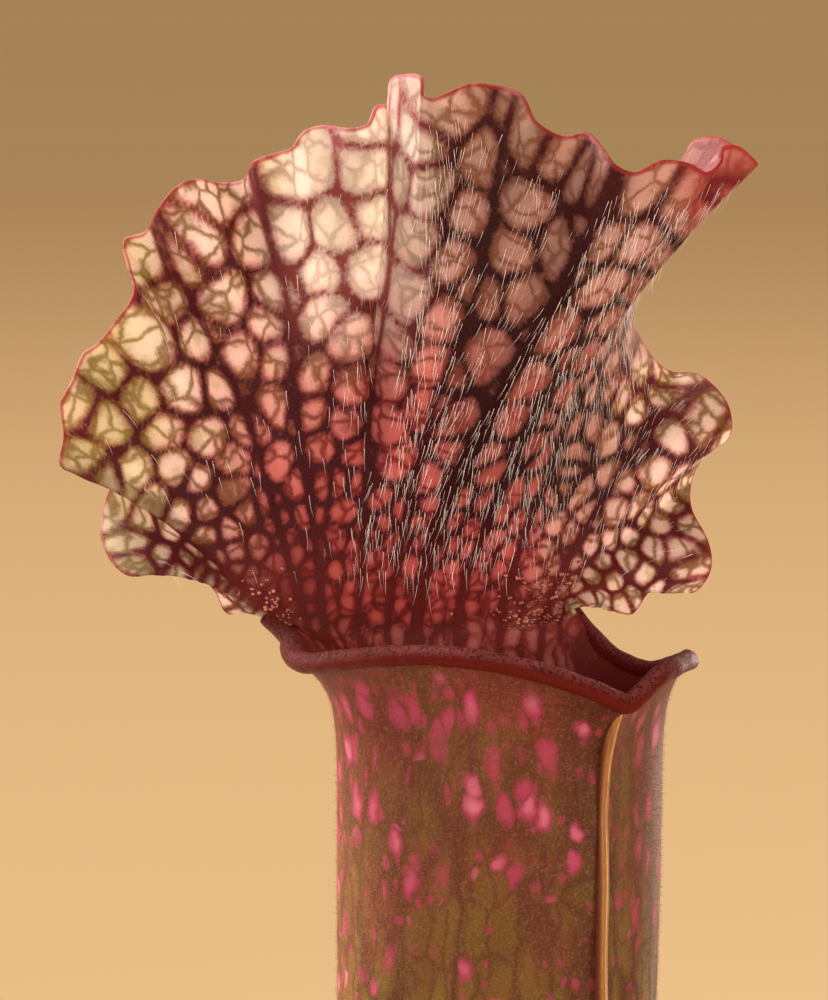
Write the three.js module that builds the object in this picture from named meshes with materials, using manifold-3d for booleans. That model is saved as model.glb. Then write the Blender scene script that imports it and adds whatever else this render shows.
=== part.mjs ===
// A potted trumpet pitcher plant, in millimetres, +Z up, origin at the middle of the pot's base.
// One tall pitcher with a ruffled hood, four shorter open ones and two young closed ones stand in
// a rhizome, in a filled plastic pot.
import * as THREE from 'three';
import { mergeVertices } from 'three/addons/utils/BufferGeometryUtils.js';
import Module from 'manifold-3d';

const wasm = await Module();
wasm.setup();

// Driving dimensions
const GAP = 0.3;
const POT_HEIGHT = 108;
const POT_RIM_RADIUS = 62;
const POT_BAND = 14;
const POT_BASE_RADIUS = 44;
const POT_WALL = 2;
const DRAIN_RADIUS = 4;
const DRAIN_CIRCLE = 28;
const DRAIN_COUNT = 6;
const SOIL_TOP = 94;
const RHIZOME_MIDDLE = [4, -3, 88.5];
const RHIZOME_RADII = [31, 18, 12];
const MOUTH_HEIGHT = 335;
const FOOT_RADIUS = 3.6;
const TUBE_SWELL = 12.3;
const TUBE_POWER = 1.15;
const FLARE_LENGTH = 12;
const FLARE_POWER = 4.5;
const FRONT_ANGLE = -0.96;
const KEEL_HEIGHT = 0.9;
const KEEL_WIDTH = 0.17;
const WALL = 0.9;
const BLADE = 0.72;
const LIP_RADIUS = 1.0;
const WING_THICKNESS = 0.8;
const BARE_FOOT = 22;
const STALK = 11;

// The hood is given as it is seen from the front, level with the mouth: across and up on the plane
// through the tube's axis, then the true depth y. The eye stands SIGHT_DISTANCE away.
const SIGHT_DISTANCE = 700;
const SIGHT_DROP = THREE.MathUtils.degToRad(4);
const SIGHT_MIDDLE = new THREE.Vector3(-8.6, 0, 19);

// The hood's edge from the right of the neck, over the top, to the left of the neck
const EDGE = [
  [9.6, 8.8, 17.5], [13.0, 7.6, 20.5], [14.8, 9.7, 23], [17.2, 10.2, 26], [19.4, 9.9, 27.5],
  [21.0, 12.0, 25], [20.8, 14.8, 24.5], [19.1, 18.2, 28.5], [19.2, 21.4, 32], [20.8, 24.0, 30.5],
  [23.0, 25.6, 27], [22.6, 28.8, 26], [20.0, 31.4, 28.5], [17.0, 31.8, 29], [14.8, 33.8, 25],
  [13.2, 37.4, 21], [14.0, 42.0, 17], [16.6, 47.6, 12], [18.6, 53.0, 6], [19.6, 55.0, 4],
  [22.4, 55.0, 1.5], [25.7, 52.6, -3.5], [24.0, 54.2, -5], [22.4, 54.3, -6.5], [22.1, 52.8, -8],
  [20.7, 51.7, -9.5], [18.8, 52.6, -11], [16.2, 52.9, -12.5], [13.6, 51.7, -14], [11.6, 52.4, -15],
  [10.2, 54.2, -13], [8.7, 55.7, -10.5], [6.2, 55.3, -10], [3.6, 56.8, -11], [2.2, 59.4, -9.5],
  [0, 60.3, -7.5], [-3.2, 60.5, -6.5], [-6.3, 59.2, -7], [-7.7, 59.4, -8.2], [-7.9, 61.3, -7.6],
  [-9.6, 61.5, -4.5], [-10.9, 61.0, -1], [-11.2, 58.7, 1.5], [-12.4, 58.3, 0], [-13.2, 56.6, -1.5],
  [-15.0, 56.1, -2], [-17.5, 56.4, 1], [-19.6, 55.8, 2], [-20.8, 54.2, 0], [-22.4, 53.6, -3],
  [-24.6, 52.8, -2], [-25.6, 51.0, 1.5], [-28.0, 50.6, 3], [-30.3, 51.0, -0.5], [-32.4, 50.2, -4],
  [-34.2, 48.0, -3], [-35.4, 45.8, 0.5], [-37.6, 44.9, 2], [-37.2, 42.4, 0], [-36.6, 39.6, -3],
  [-38.3, 37.0, -3], [-40.2, 34.6, 0.5], [-41.8, 33.4, 1], [-42.8, 30.8, -2.5], [-43.9, 28.6, -4],
  [-43.6, 25.6, -3], [-43.9, 22.4, -5], [-41.0, 22.2, -1.5], [-38.6, 21.6, 3], [-39.4, 18.8, 7],
  [-39.9, 15.6, 5], [-38.8, 12.8, 2], [-36.6, 11.4, 0.5], [-33.8, 12.6, 3], [-31.2, 12.2, 5],
  [-28.6, 10.2, 5.5], [-27.3, 7.8, 8], [-25.2, 8.2, 6.5],
];
const EDGE_END = EDGE.length - 1;
const HOOD_TIP = 21;
const HOOD_APEX = 29;

// Where the hood's ribs leave the neck: place along EDGE, then x, y, z from the mouth
const NECK = [
  [0, 7.9, 15.2, 6.6], [10, 5.5, 16.0, 5.2], [HOOD_TIP, -2.0, 16.0, 4.2], [HOOD_APEX, -8.5, 13.6, 4.0],
  [42, -15, 10.0, 4.4], [56, -19.5, 7.0, 5.2], [66, -22, 4.8, 6.0], [EDGE_END, -23.3, 3.2, 6.8],
];

// How each rib sets off from the neck: place along EDGE, then x, y, z from the neck's point
const RISE = [
  [0, 0.5, 0.8, 0.6], [10, 1.5, 2.5, 7], [HOOD_TIP, 0.5, 0.5, 14], [HOOD_APEX, 0, -0.5, 16],
  [42, 0, -1, 14], [56, -2.5, -1, 9], [66, -3.5, -1, 4.5], [EDGE_END, -0.6, 0.8, 0.4],
];

// Where each rib aims before it reaches the edge: place along EDGE, then across, up, depth
const REACH = [
  [0, 9.0, 8.4, 17], [4, 12, 10.5, 20], [8, 13, 16, 22], [12, 12.5, 24, 19], [15, 11.5, 31, 14],
  [18, 12, 39.5, 6], [HOOD_TIP, 12.6, 41.5, -3.5], [25, 11.5, 40, -6], [HOOD_APEX, 7.5, 38.5, -6.5],
  [34, 0.5, 41, -4], [38, -7, 42, -5.5], [42, -11, 42, 1], [49, -19, 39, 0], [56, -27, 33, 0],
  [66, -33, 19, 1], [72, -31, 13, 3], [EDGE_END, -24.5, 7.6, 5],
];

// The mouth's rim from the left of the neck, round the front with its spout, to the right
const RIM = [
  [-22.2, 5.2, -1.0], [-21.2, 3.6, -4.5], [-19.4, 2.7, -8.5], [-15.0, 3.1, -13.2],
  [-10.0, 3.5, -16.6], [-5.0, 3.4, -18.6], [0, 2.7, -19.6], [5, 1.5, -19.7], [9.5, -0.1, -18.9],
  [12.4, -1.35, -17.9], [13.8, -0.4, -16.9], [15.6, 1.4, -14.4], [17.2, 2.4, -11.5],
  [18.4, 3.0, -7.5], [18.2, 2.9, -3], [16.6, 2.3, 2.5], [14.2, 2.0, 7.2], [11.0, 3.5, 11.5],
  [9.2, 5.4, 13.8],
];
const SPOUT = 10;

// Each pitcher: where its mouth and foot are, which way its front faces, and its size
const PITCHERS = [
  {
    name: 'tall_pitcher', mouth: [0, 0, MOUTH_HEIGHT], foot: [-7, 5, 91], facing: FRONT_ANGLE, size: 1,
    tubeColumns: 24, tubeRows: 11, rimSamples: 32, lipSides: 6, lipRings: 36,
    hoodRows: [[0, 2.5], [0.17, 2.5], [0.35, 2.5], [0.54, 1], [0.72, 1], [0.88, 0.5], [1, 0.5]],
    flareRows: [0.55, 0.82], green: 0,
  },
  {
    name: 'left_pitcher', mouth: [-44, -32, SOIL_TOP + 132], foot: [-11, -8, 91], facing: 0.62, size: 0.72,
    tubeColumns: 12, tubeRows: 6, rimSamples: 14, lipSides: 5, lipRings: 15,
    hoodRows: [[0, 6], [0.34, 6], [0.64, 3], [0.85, 1.5], [1, 1.5]], flareRows: [0.78], green: 0.3,
  },
  {
    name: 'right_pitcher', mouth: [50, -24, SOIL_TOP + 104], foot: [21, -9, 91], facing: 2.55, size: 0.66,
    tubeColumns: 12, tubeRows: 6, rimSamples: 14, lipSides: 5, lipRings: 15,
    hoodRows: [[0, 6], [0.34, 6], [0.64, 3], [0.85, 1.5], [1, 1.5]], flareRows: [0.78], green: 0.5,
  },
  {
    name: 'rear_right_pitcher', mouth: [42, 38, SOIL_TOP + 150], foot: [17, 5, 91], facing: 3.95, size: 0.75,
    tubeColumns: 12, tubeRows: 6, rimSamples: 14, lipSides: 5, lipRings: 15,
    hoodRows: [[0, 6], [0.34, 6], [0.64, 3], [0.85, 1.5], [1, 1.5]], flareRows: [0.78], green: 0.2,
  },
  {
    name: 'rear_left_pitcher', mouth: [-42, 42, SOIL_TOP + 118], foot: [-21, 0, 88], facing: -0.7, size: 0.68,
    tubeColumns: 12, tubeRows: 6, rimSamples: 14, lipSides: 5, lipRings: 15,
    hoodRows: [[0, 6], [0.34, 6], [0.64, 3], [0.85, 1.5], [1, 1.5]], flareRows: [0.78], green: 0.4,
  },
];
const YOUNG_LEAVES = [
  { name: 'front_young_pitcher', foot: [6, -14, 91], tip: [12, -40, SOIL_TOP + 106], facing: 1.9, size: 1 },
  { name: 'middle_young_pitcher', foot: [8, -1, 93], tip: [17, 2, SOIL_TOP + 68], facing: 3.6, size: 0.8 },
];

// Curves

function fromSight(across, up, depth) {
  const forward = new THREE.Vector3(0, Math.cos(SIGHT_DROP), -Math.sin(SIGHT_DROP));
  const upward = new THREE.Vector3(0, Math.sin(SIGHT_DROP), Math.cos(SIGHT_DROP));
  const eye = SIGHT_MIDDLE.clone().addScaledVector(forward, -SIGHT_DISTANCE);
  const target = SIGHT_MIDDLE.clone();
  target.x += across - SIGHT_MIDDLE.x;
  target.addScaledVector(upward, up - SIGHT_MIDDLE.z);
  const line = target.sub(eye);
  return eye.addScaledVector(line, (depth - eye.y) / line.y);
}

// A smooth curve through points at given places, with its slopes from the neighbours
class PlacedCurve {
  constructor(places, points) {
    this.places = places;
    this.points = points;
    const last = points.length - 1;
    this.slopes = points.map((point, index) => {
      const before = Math.max(index - 1, 0);
      const after = Math.min(index + 1, last);
      return points[after].clone().sub(points[before]).divideScalar(places[after] - places[before]);
    });
  }

  at(place) {
    let index = 0;
    while (index < this.places.length - 2 && place >= this.places[index + 1]) {
      index += 1;
    }
    const span = this.places[index + 1] - this.places[index];
    const t = (place - this.places[index]) / span;
    const result = this.points[index].clone().multiplyScalar(2 * t ** 3 - 3 * t ** 2 + 1);
    result.addScaledVector(this.slopes[index], (t ** 3 - 2 * t ** 2 + t) * span);
    result.addScaledVector(this.points[index + 1], 3 * t ** 2 - 2 * t ** 3);
    return result.addScaledVector(this.slopes[index + 1], (t ** 3 - t ** 2) * span);
  }
}

const edgeCurve = new PlacedCurve(EDGE.map((_, index) => index), EDGE.map((row) => fromSight(...row)));
const neckCurve = new PlacedCurve(NECK.map((row) => row[0]),
  NECK.map((row) => new THREE.Vector3(...row.slice(1))));
const riseCurve = new PlacedCurve(RISE.map((row) => row[0]),
  RISE.map((row) => new THREE.Vector3(...row.slice(1))));
const reachCurve = new PlacedCurve(REACH.map((row) => row[0]),
  REACH.map((row) => fromSight(...row.slice(1))));
const rimPoints = [neckCurve.at(EDGE_END), ...RIM.map((row) => fromSight(...row)), neckCurve.at(0)];
const rimCurve = new PlacedCurve(rimPoints.map((_, index) => index), rimPoints);

// The hood's middle surface: place along the edge, and 0 at the neck to 1 at the edge
function hoodPoint(place, t) {
  const neck = neckCurve.at(place);
  const rise = riseCurve.at(place).add(neck);
  const point = neck.clone().multiplyScalar((1 - t) ** 3);
  point.addScaledVector(rise, 3 * t * (1 - t) ** 2);
  point.addScaledVector(reachCurve.at(place), 3 * t ** 2 * (1 - t));
  return point.addScaledVector(edgeCurve.at(place), t ** 3);
}

function tubeRadius(rise) {
  return FOOT_RADIUS + TUBE_SWELL * Math.sin(0.5 * Math.PI * rise ** TUBE_POWER);
}

function keel(angle, rise) {
  const away = Math.atan2(Math.sin(angle - FRONT_ANGLE), Math.cos(angle - FRONT_ANGLE));
  return KEEL_HEIGHT * Math.exp(-((away / KEEL_WIDTH) ** 2)) * Math.min(1, 3 * rise);
}

// Sheets

// Joins two rows of points, each running the same way round, by triangles
function stitch(lower, upper, triangles) {
  let low = 0;
  let high = 0;
  while (low < lower.length - 1 || high < upper.length - 1) {
    const nextLow = low < lower.length - 1 ? lower[low + 1].place : Infinity;
    const nextHigh = high < upper.length - 1 ? upper[high + 1].place : Infinity;
    if (nextLow <= nextHigh) {
      triangles.push([lower[low].id, lower[low + 1].id, upper[high].id]);
      low += 1;
    } else {
      triangles.push([lower[low].id, upper[high + 1].id, upper[high].id]);
      high += 1;
    }
  }
}

function closeRow(row, turn) {
  return [...row, { id: row[0].id, place: row[0].place + turn }];
}

function solidFrom(positions, triangles) {
  let geometry = new THREE.BufferGeometry();
  const coordinates = positions.flatMap((point) => [point.x, point.y, point.z]);
  geometry.setAttribute('position', new THREE.Float32BufferAttribute(coordinates, 3));
  geometry.setIndex(triangles.flat());
  geometry = mergeVertices(geometry, 1e-4);
  return new wasm.Manifold(new wasm.Mesh({
    numProp: 3,
    vertProperties: new Float32Array(geometry.attributes.position.array),
    triVerts: new Uint32Array(geometry.index.array),
  }));
}

function solidOf(source) {
  let geometry = source.clone();
  geometry.deleteAttribute('normal');
  geometry.deleteAttribute('uv');
  geometry = mergeVertices(geometry, 1e-4);
  return new wasm.Manifold(new wasm.Mesh({
    numProp: 3,
    vertProperties: new Float32Array(geometry.attributes.position.array),
    triVerts: new Uint32Array(geometry.index.array),
  }));
}

// The outer skin alone, so that a crevice shut in by a join is filled
function filled(solid) {
  const skins = solid.decompose();
  return skins.reduce((largest, skin) => (skin.volume() > largest.volume() ? skin : largest));
}

function geometryOf(solid) {
  const mesh = filled(solid).simplify(0.01).getMesh();
  const positions = new Float32Array((mesh.vertProperties.length / mesh.numProp) * 3);
  for (let index = 0; index < positions.length / 3; index += 1) {
    for (let axis = 0; axis < 3; axis += 1) {
      positions[3 * index + axis] = mesh.vertProperties[mesh.numProp * index + axis];
    }
  }
  const geometry = new THREE.BufferGeometry();
  geometry.setAttribute('position', new THREE.BufferAttribute(positions, 3));
  geometry.setIndex(new THREE.BufferAttribute(new Uint32Array(mesh.triVerts), 1));
  geometry.computeVertexNormals();
  return geometry;
}

// A closed bar with the given cross sections, each a ring of the same number of points
function barFrom(rings) {
  const positions = rings.flat();
  const sides = rings[0].length;
  const triangles = [];
  for (let ring = 0; ring < rings.length - 1; ring += 1) {
    for (let side = 0; side < sides; side += 1) {
      const next = (side + 1) % sides;
      const [a, b] = [ring * sides + side, ring * sides + next];
      const [c, d] = [(ring + 1) * sides + next, (ring + 1) * sides + side];
      triangles.push([a, b, c], [a, c, d]);
    }
  }
  for (let side = 1; side < sides - 1; side += 1) {
    const last = (rings.length - 1) * sides;
    triangles.push([0, side + 1, side], [last, last + side, last + side + 1]);
  }
  return solidFrom(positions, triangles);
}

// Open pitchers: tube, hood, rolled lip and front wing, grown as one leaf

function openPitcher(spec) {
  const mouth = new THREE.Vector3(...spec.mouth);
  const foot = new THREE.Vector3(...spec.foot);
  const turn = spec.facing - FRONT_ANGLE;
  const upright = new THREE.Vector3(0, 0, 1);
  const toWorld = (point) => point.clone().multiplyScalar(spec.size).applyAxisAngle(upright, turn).add(mouth);
  const height = mouth.z - foot.z;
  const spine = new THREE.CubicBezierCurve3(
    foot,
    foot.clone().add(new THREE.Vector3(0, 0, 0.3 * height)),
    mouth.clone().add(new THREE.Vector3(0, 0, -0.35 * height)),
    mouth,
  );

  // A point of the tube below its flare, by its angle in the mouth's own frame
  const tubePoint = (angle, rise, out = 0) => {
    const radius = (tubeRadius(rise) + keel(angle, rise)) * spec.size + out;
    const middle = spine.getPoint(rise);
    return new THREE.Vector3(
      middle.x + radius * Math.cos(angle + turn),
      middle.y + radius * Math.sin(angle + turn),
      middle.z,
    );
  };
  const flareStart = (() => {
    let low = 0.5;
    let high = 1;
    for (let step = 0; step < 30; step += 1) {
      const middle = 0.5 * (low + high);
      if (spine.getPoint(middle).z < mouth.z - FLARE_LENGTH * spec.size) {
        low = middle;
      } else {
        high = middle;
      }
    }
    return low;
  })();
  const flarePoint = (loopPoint, w) => {
    const angle = Math.atan2(loopPoint.y, loopPoint.x);
    const share = w ** FLARE_POWER;
    const rise = flareStart + (1 - flareStart) * w;
    const radius = (tubeRadius(rise) + keel(angle, rise)) * (1 - share);
    const local = new THREE.Vector3(
      radius * Math.cos(angle) + share * loopPoint.x,
      radius * Math.sin(angle) + share * loopPoint.y,
      -FLARE_LENGTH * (1 - w) + loopPoint.z * w,
    );
    const world = toWorld(local);
    const drift = spine.getPoint(rise).sub(mouth);
    world.x += drift.x * (1 - w);
    world.y += drift.y * (1 - w);
    return world;
  };

  const positions = [];
  const triangles = [];
  const lowTriangles = [];
  const halves = [];
  const add = (point, thickness) => {
    positions.push(point);
    halves.push(0.5 * thickness);
    return positions.length - 1;
  };

  // The tube's rows, solid at the foot and hollow above
  const tubeRows = [];
  const firstRise = STALK / height;
  for (let index = 0; index <= spec.tubeRows; index += 1) {
    const share = (index - 1) / (spec.tubeRows - 1);
    const rise = index === 0 ? 0 : firstRise + (flareStart - firstRise) * share;
    const row = [];
    for (let column = 0; column < spec.tubeColumns; column += 1) {
      const angle = FRONT_ANGLE + (2 * Math.PI * column) / spec.tubeColumns;
      row.push({ id: add(tubePoint(angle, rise), WALL), place: angle });
    }
    tubeRows.push(row);
  }
  const hollowRow = tubeRows.findIndex((row) => positions[row[0].id].z > foot.z + BARE_FOOT);
  for (let index = 0; index < spec.tubeRows; index += 1) {
    const goal = index < hollowRow ? lowTriangles : triangles;
    stitch(closeRow(tubeRows[index], 2 * Math.PI), closeRow(tubeRows[index + 1], 2 * Math.PI), goal);
  }

  // The mouth's loop: the neck from right to left, then the rim from left to right
  const neckStep = spec.hoodRows[0][1];
  const loop = [];
  for (let place = 0; place <= EDGE_END + 1e-6; place += neckStep) {
    loop.push({ point: neckCurve.at(Math.min(place, EDGE_END)), thickness: 0.5 * (WALL + BLADE) });
  }
  if (EDGE_END % neckStep > 1e-6) {
    loop.push({ point: neckCurve.at(EDGE_END), thickness: 0.5 * (WALL + BLADE) });
  }
  const neckCount = loop.length;
  for (let index = 1; index < spec.rimSamples; index += 1) {
    const place = ((rimPoints.length - 1) * index) / spec.rimSamples;
    const near = Math.abs(place - SPOUT) < 0.3 ? SPOUT : place;
    loop.push({ point: rimCurve.at(near), thickness: WALL });
  }
  let before = Math.atan2(loop[0].point.y, loop[0].point.x) - 1e-3;
  for (const sample of loop) {
    let angle = Math.atan2(sample.point.y, sample.point.x);
    while (angle < before - Math.PI) {
      angle += 2 * Math.PI;
    }
    sample.place = angle;
    before = angle;
  }
  const rotateTo = (row, start) => {
    const turned = row.map((item) => {
      let place = item.place;
      while (place < start - 1e-9) {
        place += 2 * Math.PI;
      }
      while (place >= start + 2 * Math.PI - 1e-9) {
        place -= 2 * Math.PI;
      }
      return { id: item.id, place };
    });
    turned.sort((a, b) => a.place - b.place);
    return turned;
  };
  const loopStart = loop[0].place;
  let lowerRow = rotateTo(tubeRows[spec.tubeRows], loopStart);
  for (const w of [...spec.flareRows, 1]) {
    const row = loop.map((sample) => ({
      id: add(flarePoint(sample.point, w), sample.thickness * w + WALL * (1 - w)),
      place: sample.place,
    }));
    stitch(closeRow(lowerRow, 2 * Math.PI), closeRow(row, 2 * Math.PI), triangles);
    lowerRow = row;
  }
  const rimRow = lowerRow;

  // The hood's rows, finer towards the ruffled edge
  let hoodRow = rimRow.slice(0, neckCount).map((item, index) => ({
    id: item.id,
    place: Math.min(index * neckStep, EDGE_END),
  }));
  for (const [t, step] of spec.hoodRows.slice(1)) {
    const row = [];
    for (let place = 0; place < EDGE_END - 0.25 * step; place += step) {
      row.push({ id: add(toWorld(hoodPoint(place, t)), BLADE), place });
    }
    row.push({ id: add(toWorld(hoodPoint(EDGE_END, t)), BLADE), place: EDGE_END });
    stitch(hoodRow, row, triangles);
    hoodRow = row;
  }

  // Two faces either side of the middle surface, closed along every free edge
  const normals = positions.map(() => new THREE.Vector3());
  for (const [a, b, c] of [...lowTriangles, ...triangles]) {
    const normal = positions[b].clone().sub(positions[a]).cross(positions[c].clone().sub(positions[a]));
    normals[a].add(normal);
    normals[b].add(normal);
    normals[c].add(normal);
  }
  normals.forEach((normal) => normal.normalize());
  const count = positions.length;
  const offsetFace = (sign) => positions.map((point, index) => (
    point.clone().addScaledVector(normals[index], sign * halves[index])
  ));
  const skin = [...offsetFace(1), ...offsetFace(-1)];
  const faces = [...lowTriangles, ...triangles];
  faces.push(...triangles.map(([a, b, c]) => [a + count, c + count, b + count]));
  const seen = new Set();
  for (const [a, b, c] of triangles) {
    seen.add(`${a},${b}`).add(`${b},${c}`).add(`${c},${a}`);
  }
  const hollowIds = new Set(tubeRows[hollowRow].map((item) => item.id));
  for (const [a, b, c] of triangles) {
    for (const [from, to] of [[a, b], [b, c], [c, a]]) {
      if (!seen.has(`${to},${from}`) && !(hollowIds.has(from) && hollowIds.has(to))) {
        faces.push([to, from, from + count], [to, from + count, to + count]);
      }
    }
  }
  const cap = (row, shift, flip) => {
    const middle = new THREE.Vector3();
    row.forEach((item) => middle.add(skin[item.id + shift]));
    skin.push(middle.divideScalar(row.length));
    row.forEach((item, index) => {
      const next = row[(index + 1) % row.length];
      const [first, second] = flip ? [next, item] : [item, next];
      faces.push([skin.length - 1, first.id + shift, second.id + shift]);
    });
  };
  cap(tubeRows[0], 0, true);
  cap(tubeRows[hollowRow], count, false);
  const sheet = solidFrom(skin, faces);

  // The rolled lip
  const lipRings = [];
  for (let index = 0; index <= spec.lipRings; index += 1) {
    const place = ((rimPoints.length - 1) * index) / spec.lipRings;
    const near = Math.abs(place - SPOUT) < 0.2 ? SPOUT : place;
    const ahead = rimCurve.at(Math.min(near + 0.35, rimPoints.length - 1));
    const along = ahead.sub(rimCurve.at(Math.max(near - 0.35, 0))).normalize();
    const across = new THREE.Vector3().crossVectors(along, upright).normalize();
    const over = new THREE.Vector3().crossVectors(across, along);
    const fade = Math.min(1, 0.45 + 0.25 * Math.min(index, spec.lipRings - index));
    const middle = rimCurve.at(near).addScaledVector(across, 0.25);
    lipRings.push(Array.from({ length: spec.lipSides }, (_, side) => {
      const angle = (-2 * Math.PI * side) / spec.lipSides;
      const reach = LIP_RADIUS * fade;
      const point = middle.clone().addScaledVector(across, reach * Math.cos(angle));
      return toWorld(point.addScaledVector(over, reach * Math.sin(angle)));
    }));
  }
  const lip = barFrom(lipRings);

  // The front wing, from the foot to just under the spout
  const wingRings = [];
  const wingCount = spec.tubeRows + 2;
  for (let index = 0; index <= wingCount; index += 1) {
    const share = index / wingCount;
    const rise = 1.3 * firstRise + (flareStart - 1.3 * firstRise) * share;
    const width = spec.size * (1.2 + 4.4 * Math.sin(Math.PI * share) ** 0.8 * (1 - 0.45 * share));
    const side = new THREE.Vector3(-Math.sin(FRONT_ANGLE + turn), Math.cos(FRONT_ANGLE + turn), 0);
    const root = tubePoint(FRONT_ANGLE, rise);
    const tip = tubePoint(FRONT_ANGLE, rise, width);
    const half = 0.5 * WING_THICKNESS;
    wingRings.push([
      root.clone().addScaledVector(side, half), root.clone().addScaledVector(side, -half),
      tip.clone().addScaledVector(side, -0.8 * half), tip.clone().addScaledVector(side, 0.8 * half),
    ]);
  }
  const spout = rimCurve.at(SPOUT);
  for (const w of [0.5, 0.8, 0.93]) {
    const side = new THREE.Vector3(-Math.sin(FRONT_ANGLE + turn), Math.cos(FRONT_ANGLE + turn), 0);
    const front = new THREE.Vector3(Math.cos(FRONT_ANGLE + turn), Math.sin(FRONT_ANGLE + turn), 0);
    const root = flarePoint(spout, w);
    const tip = root.clone().addScaledVector(front, spec.size * (1.2 - 0.3 * w));
    const half = 0.5 * WING_THICKNESS;
    wingRings.push([
      root.clone().addScaledVector(side, half), root.clone().addScaledVector(side, -half),
      tip.clone().addScaledVector(side, -0.8 * half), tip.clone().addScaledVector(side, 0.8 * half),
    ]);
  }
  const wing = barFrom(wingRings);
  return sheet.add(lip).add(wing);
}

// Young closed pitchers

function youngPitcher(spec) {
  const foot = new THREE.Vector3(...spec.foot);
  const tip = new THREE.Vector3(...spec.tip);
  const height = tip.z - foot.z;
  const spine = new THREE.CubicBezierCurve3(
    foot,
    foot.clone().add(new THREE.Vector3(0, 0, 0.35 * height)),
    tip.clone().add(new THREE.Vector3(0, 0, -0.3 * height)),
    tip,
  );
  const rows = 11;
  const sides = 10;
  const rings = [];
  for (let row = 0; row <= rows; row += 1) {
    const rise = row / rows;
    const swell = 2.3 + 3.1 * Math.sin(Math.PI * Math.min(1, rise * 1.02) ** 1.5) - 1.7 * rise ** 4;
    const middle = spine.getPoint(rise);
    rings.push(Array.from({ length: sides }, (_, side) => {
      const angle = (2 * Math.PI * side) / sides;
      const front = Math.cos(angle) > 0.9 ? 1.9 * Math.sin(Math.PI * rise) : 0;
      const x = (swell * Math.cos(angle) + front) * spec.size;
      const y = swell * Math.sin(angle) * (1 - 0.35 * rise ** 2) * spec.size;
      return new THREE.Vector3(
        middle.x + x * Math.cos(spec.facing) - y * Math.sin(spec.facing),
        middle.y + x * Math.sin(spec.facing) + y * Math.cos(spec.facing),
        middle.z,
      );
    }));
  }
  return barFrom(rings);
}

// Rhizome, with a socket for each leaf

function rhizomeSolid(grow) {
  const geometry = new THREE.SphereGeometry(1, 20, 10);
  const position = geometry.attributes.position;
  for (let index = 0; index < position.count; index += 1) {
    const [x, y, z] = [position.getX(index), position.getY(index), position.getZ(index)];
    const lump = 1 + 0.05 * Math.sin(9 * x + 2 * z) * Math.cos(5 * y) + 0.03 * Math.sin(7 * y + 4 * z + 1);
    position.setXYZ(
      index,
      RHIZOME_MIDDLE[0] + x * (RHIZOME_RADII[0] * lump + grow),
      RHIZOME_MIDDLE[1] + y * (RHIZOME_RADII[1] * lump + grow),
      RHIZOME_MIDDLE[2] + z * (RHIZOME_RADII[2] * lump + grow),
    );
  }
  return solidOf(geometry);
}

function socket(foot, bottomRadius, topRadius) {
  const depth = 26;
  const geometry = new THREE.CylinderGeometry(topRadius, bottomRadius, depth, 14);
  geometry.rotateX(0.5 * Math.PI);
  geometry.translate(foot[0], foot[1], foot[2] - GAP + 0.5 * depth);
  return solidOf(geometry);
}

function withSockets(solid, extra) {
  let body = solid;
  for (const spec of PITCHERS) {
    const height = spec.mouth[2] - spec.foot[2];
    const start = FOOT_RADIUS * spec.size + 0.5 * WALL + GAP + 0.1 + extra;
    const exit = tubeRadius(26 / height) * spec.size + 0.5 * WALL + 0.8 + extra;
    body = body.subtract(socket(spec.foot, start, exit));
  }
  for (const spec of YOUNG_LEAVES) {
    const start = 2.3 * spec.size + GAP + 0.3 + extra;
    body = body.subtract(socket(spec.foot, start, 4.4 * spec.size + GAP + 0.3 + extra));
  }
  return body;
}

function rhizome() {
  return withSockets(rhizomeSolid(0), 0);
}

// Soil and pot

function innerPotRadius(z) {
  const low = POT_BASE_RADIUS - POT_WALL;
  const high = POT_RIM_RADIUS - POT_WALL - 2.2;
  return low + ((high - low) * z) / (POT_HEIGHT - POT_BAND);
}

function soil() {
  const profile = [new THREE.Vector2(0, POT_WALL + 0.4 + GAP)];
  const bottom = POT_WALL + 0.4 + GAP;
  profile.push(new THREE.Vector2(innerPotRadius(bottom) - 0.5, bottom));
  profile.push(new THREE.Vector2(innerPotRadius(SOIL_TOP) - GAP - 0.05, SOIL_TOP - 1));
  for (const share of [0.95, 0.78, 0.6, 0.42, 0.22]) {
    profile.push(new THREE.Vector2(innerPotRadius(SOIL_TOP) * share, SOIL_TOP));
  }
  profile.push(new THREE.Vector2(0, SOIL_TOP));
  const geometry = new THREE.LatheGeometry(profile, 32);
  geometry.rotateX(0.5 * Math.PI);
  const position = geometry.attributes.position;
  for (let index = 0; index < position.count; index += 1) {
    const [x, y, z] = [position.getX(index), position.getY(index), position.getZ(index)];
    const out = Math.hypot(x, y);
    if (z > SOIL_TOP - 0.5) {
      const wave = Math.sin(0.31 * x + 1.3) * Math.cos(0.27 * y) + 0.6 * Math.sin(0.55 * x - 0.43 * y);
      position.setZ(index, z + 1.4 * (1 - (out / 58) ** 2) + 0.7 * wave);
    }
  }
  return withSockets(solidOf(geometry).subtract(rhizomeSolid(0.45)), 0.5);
}

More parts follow.
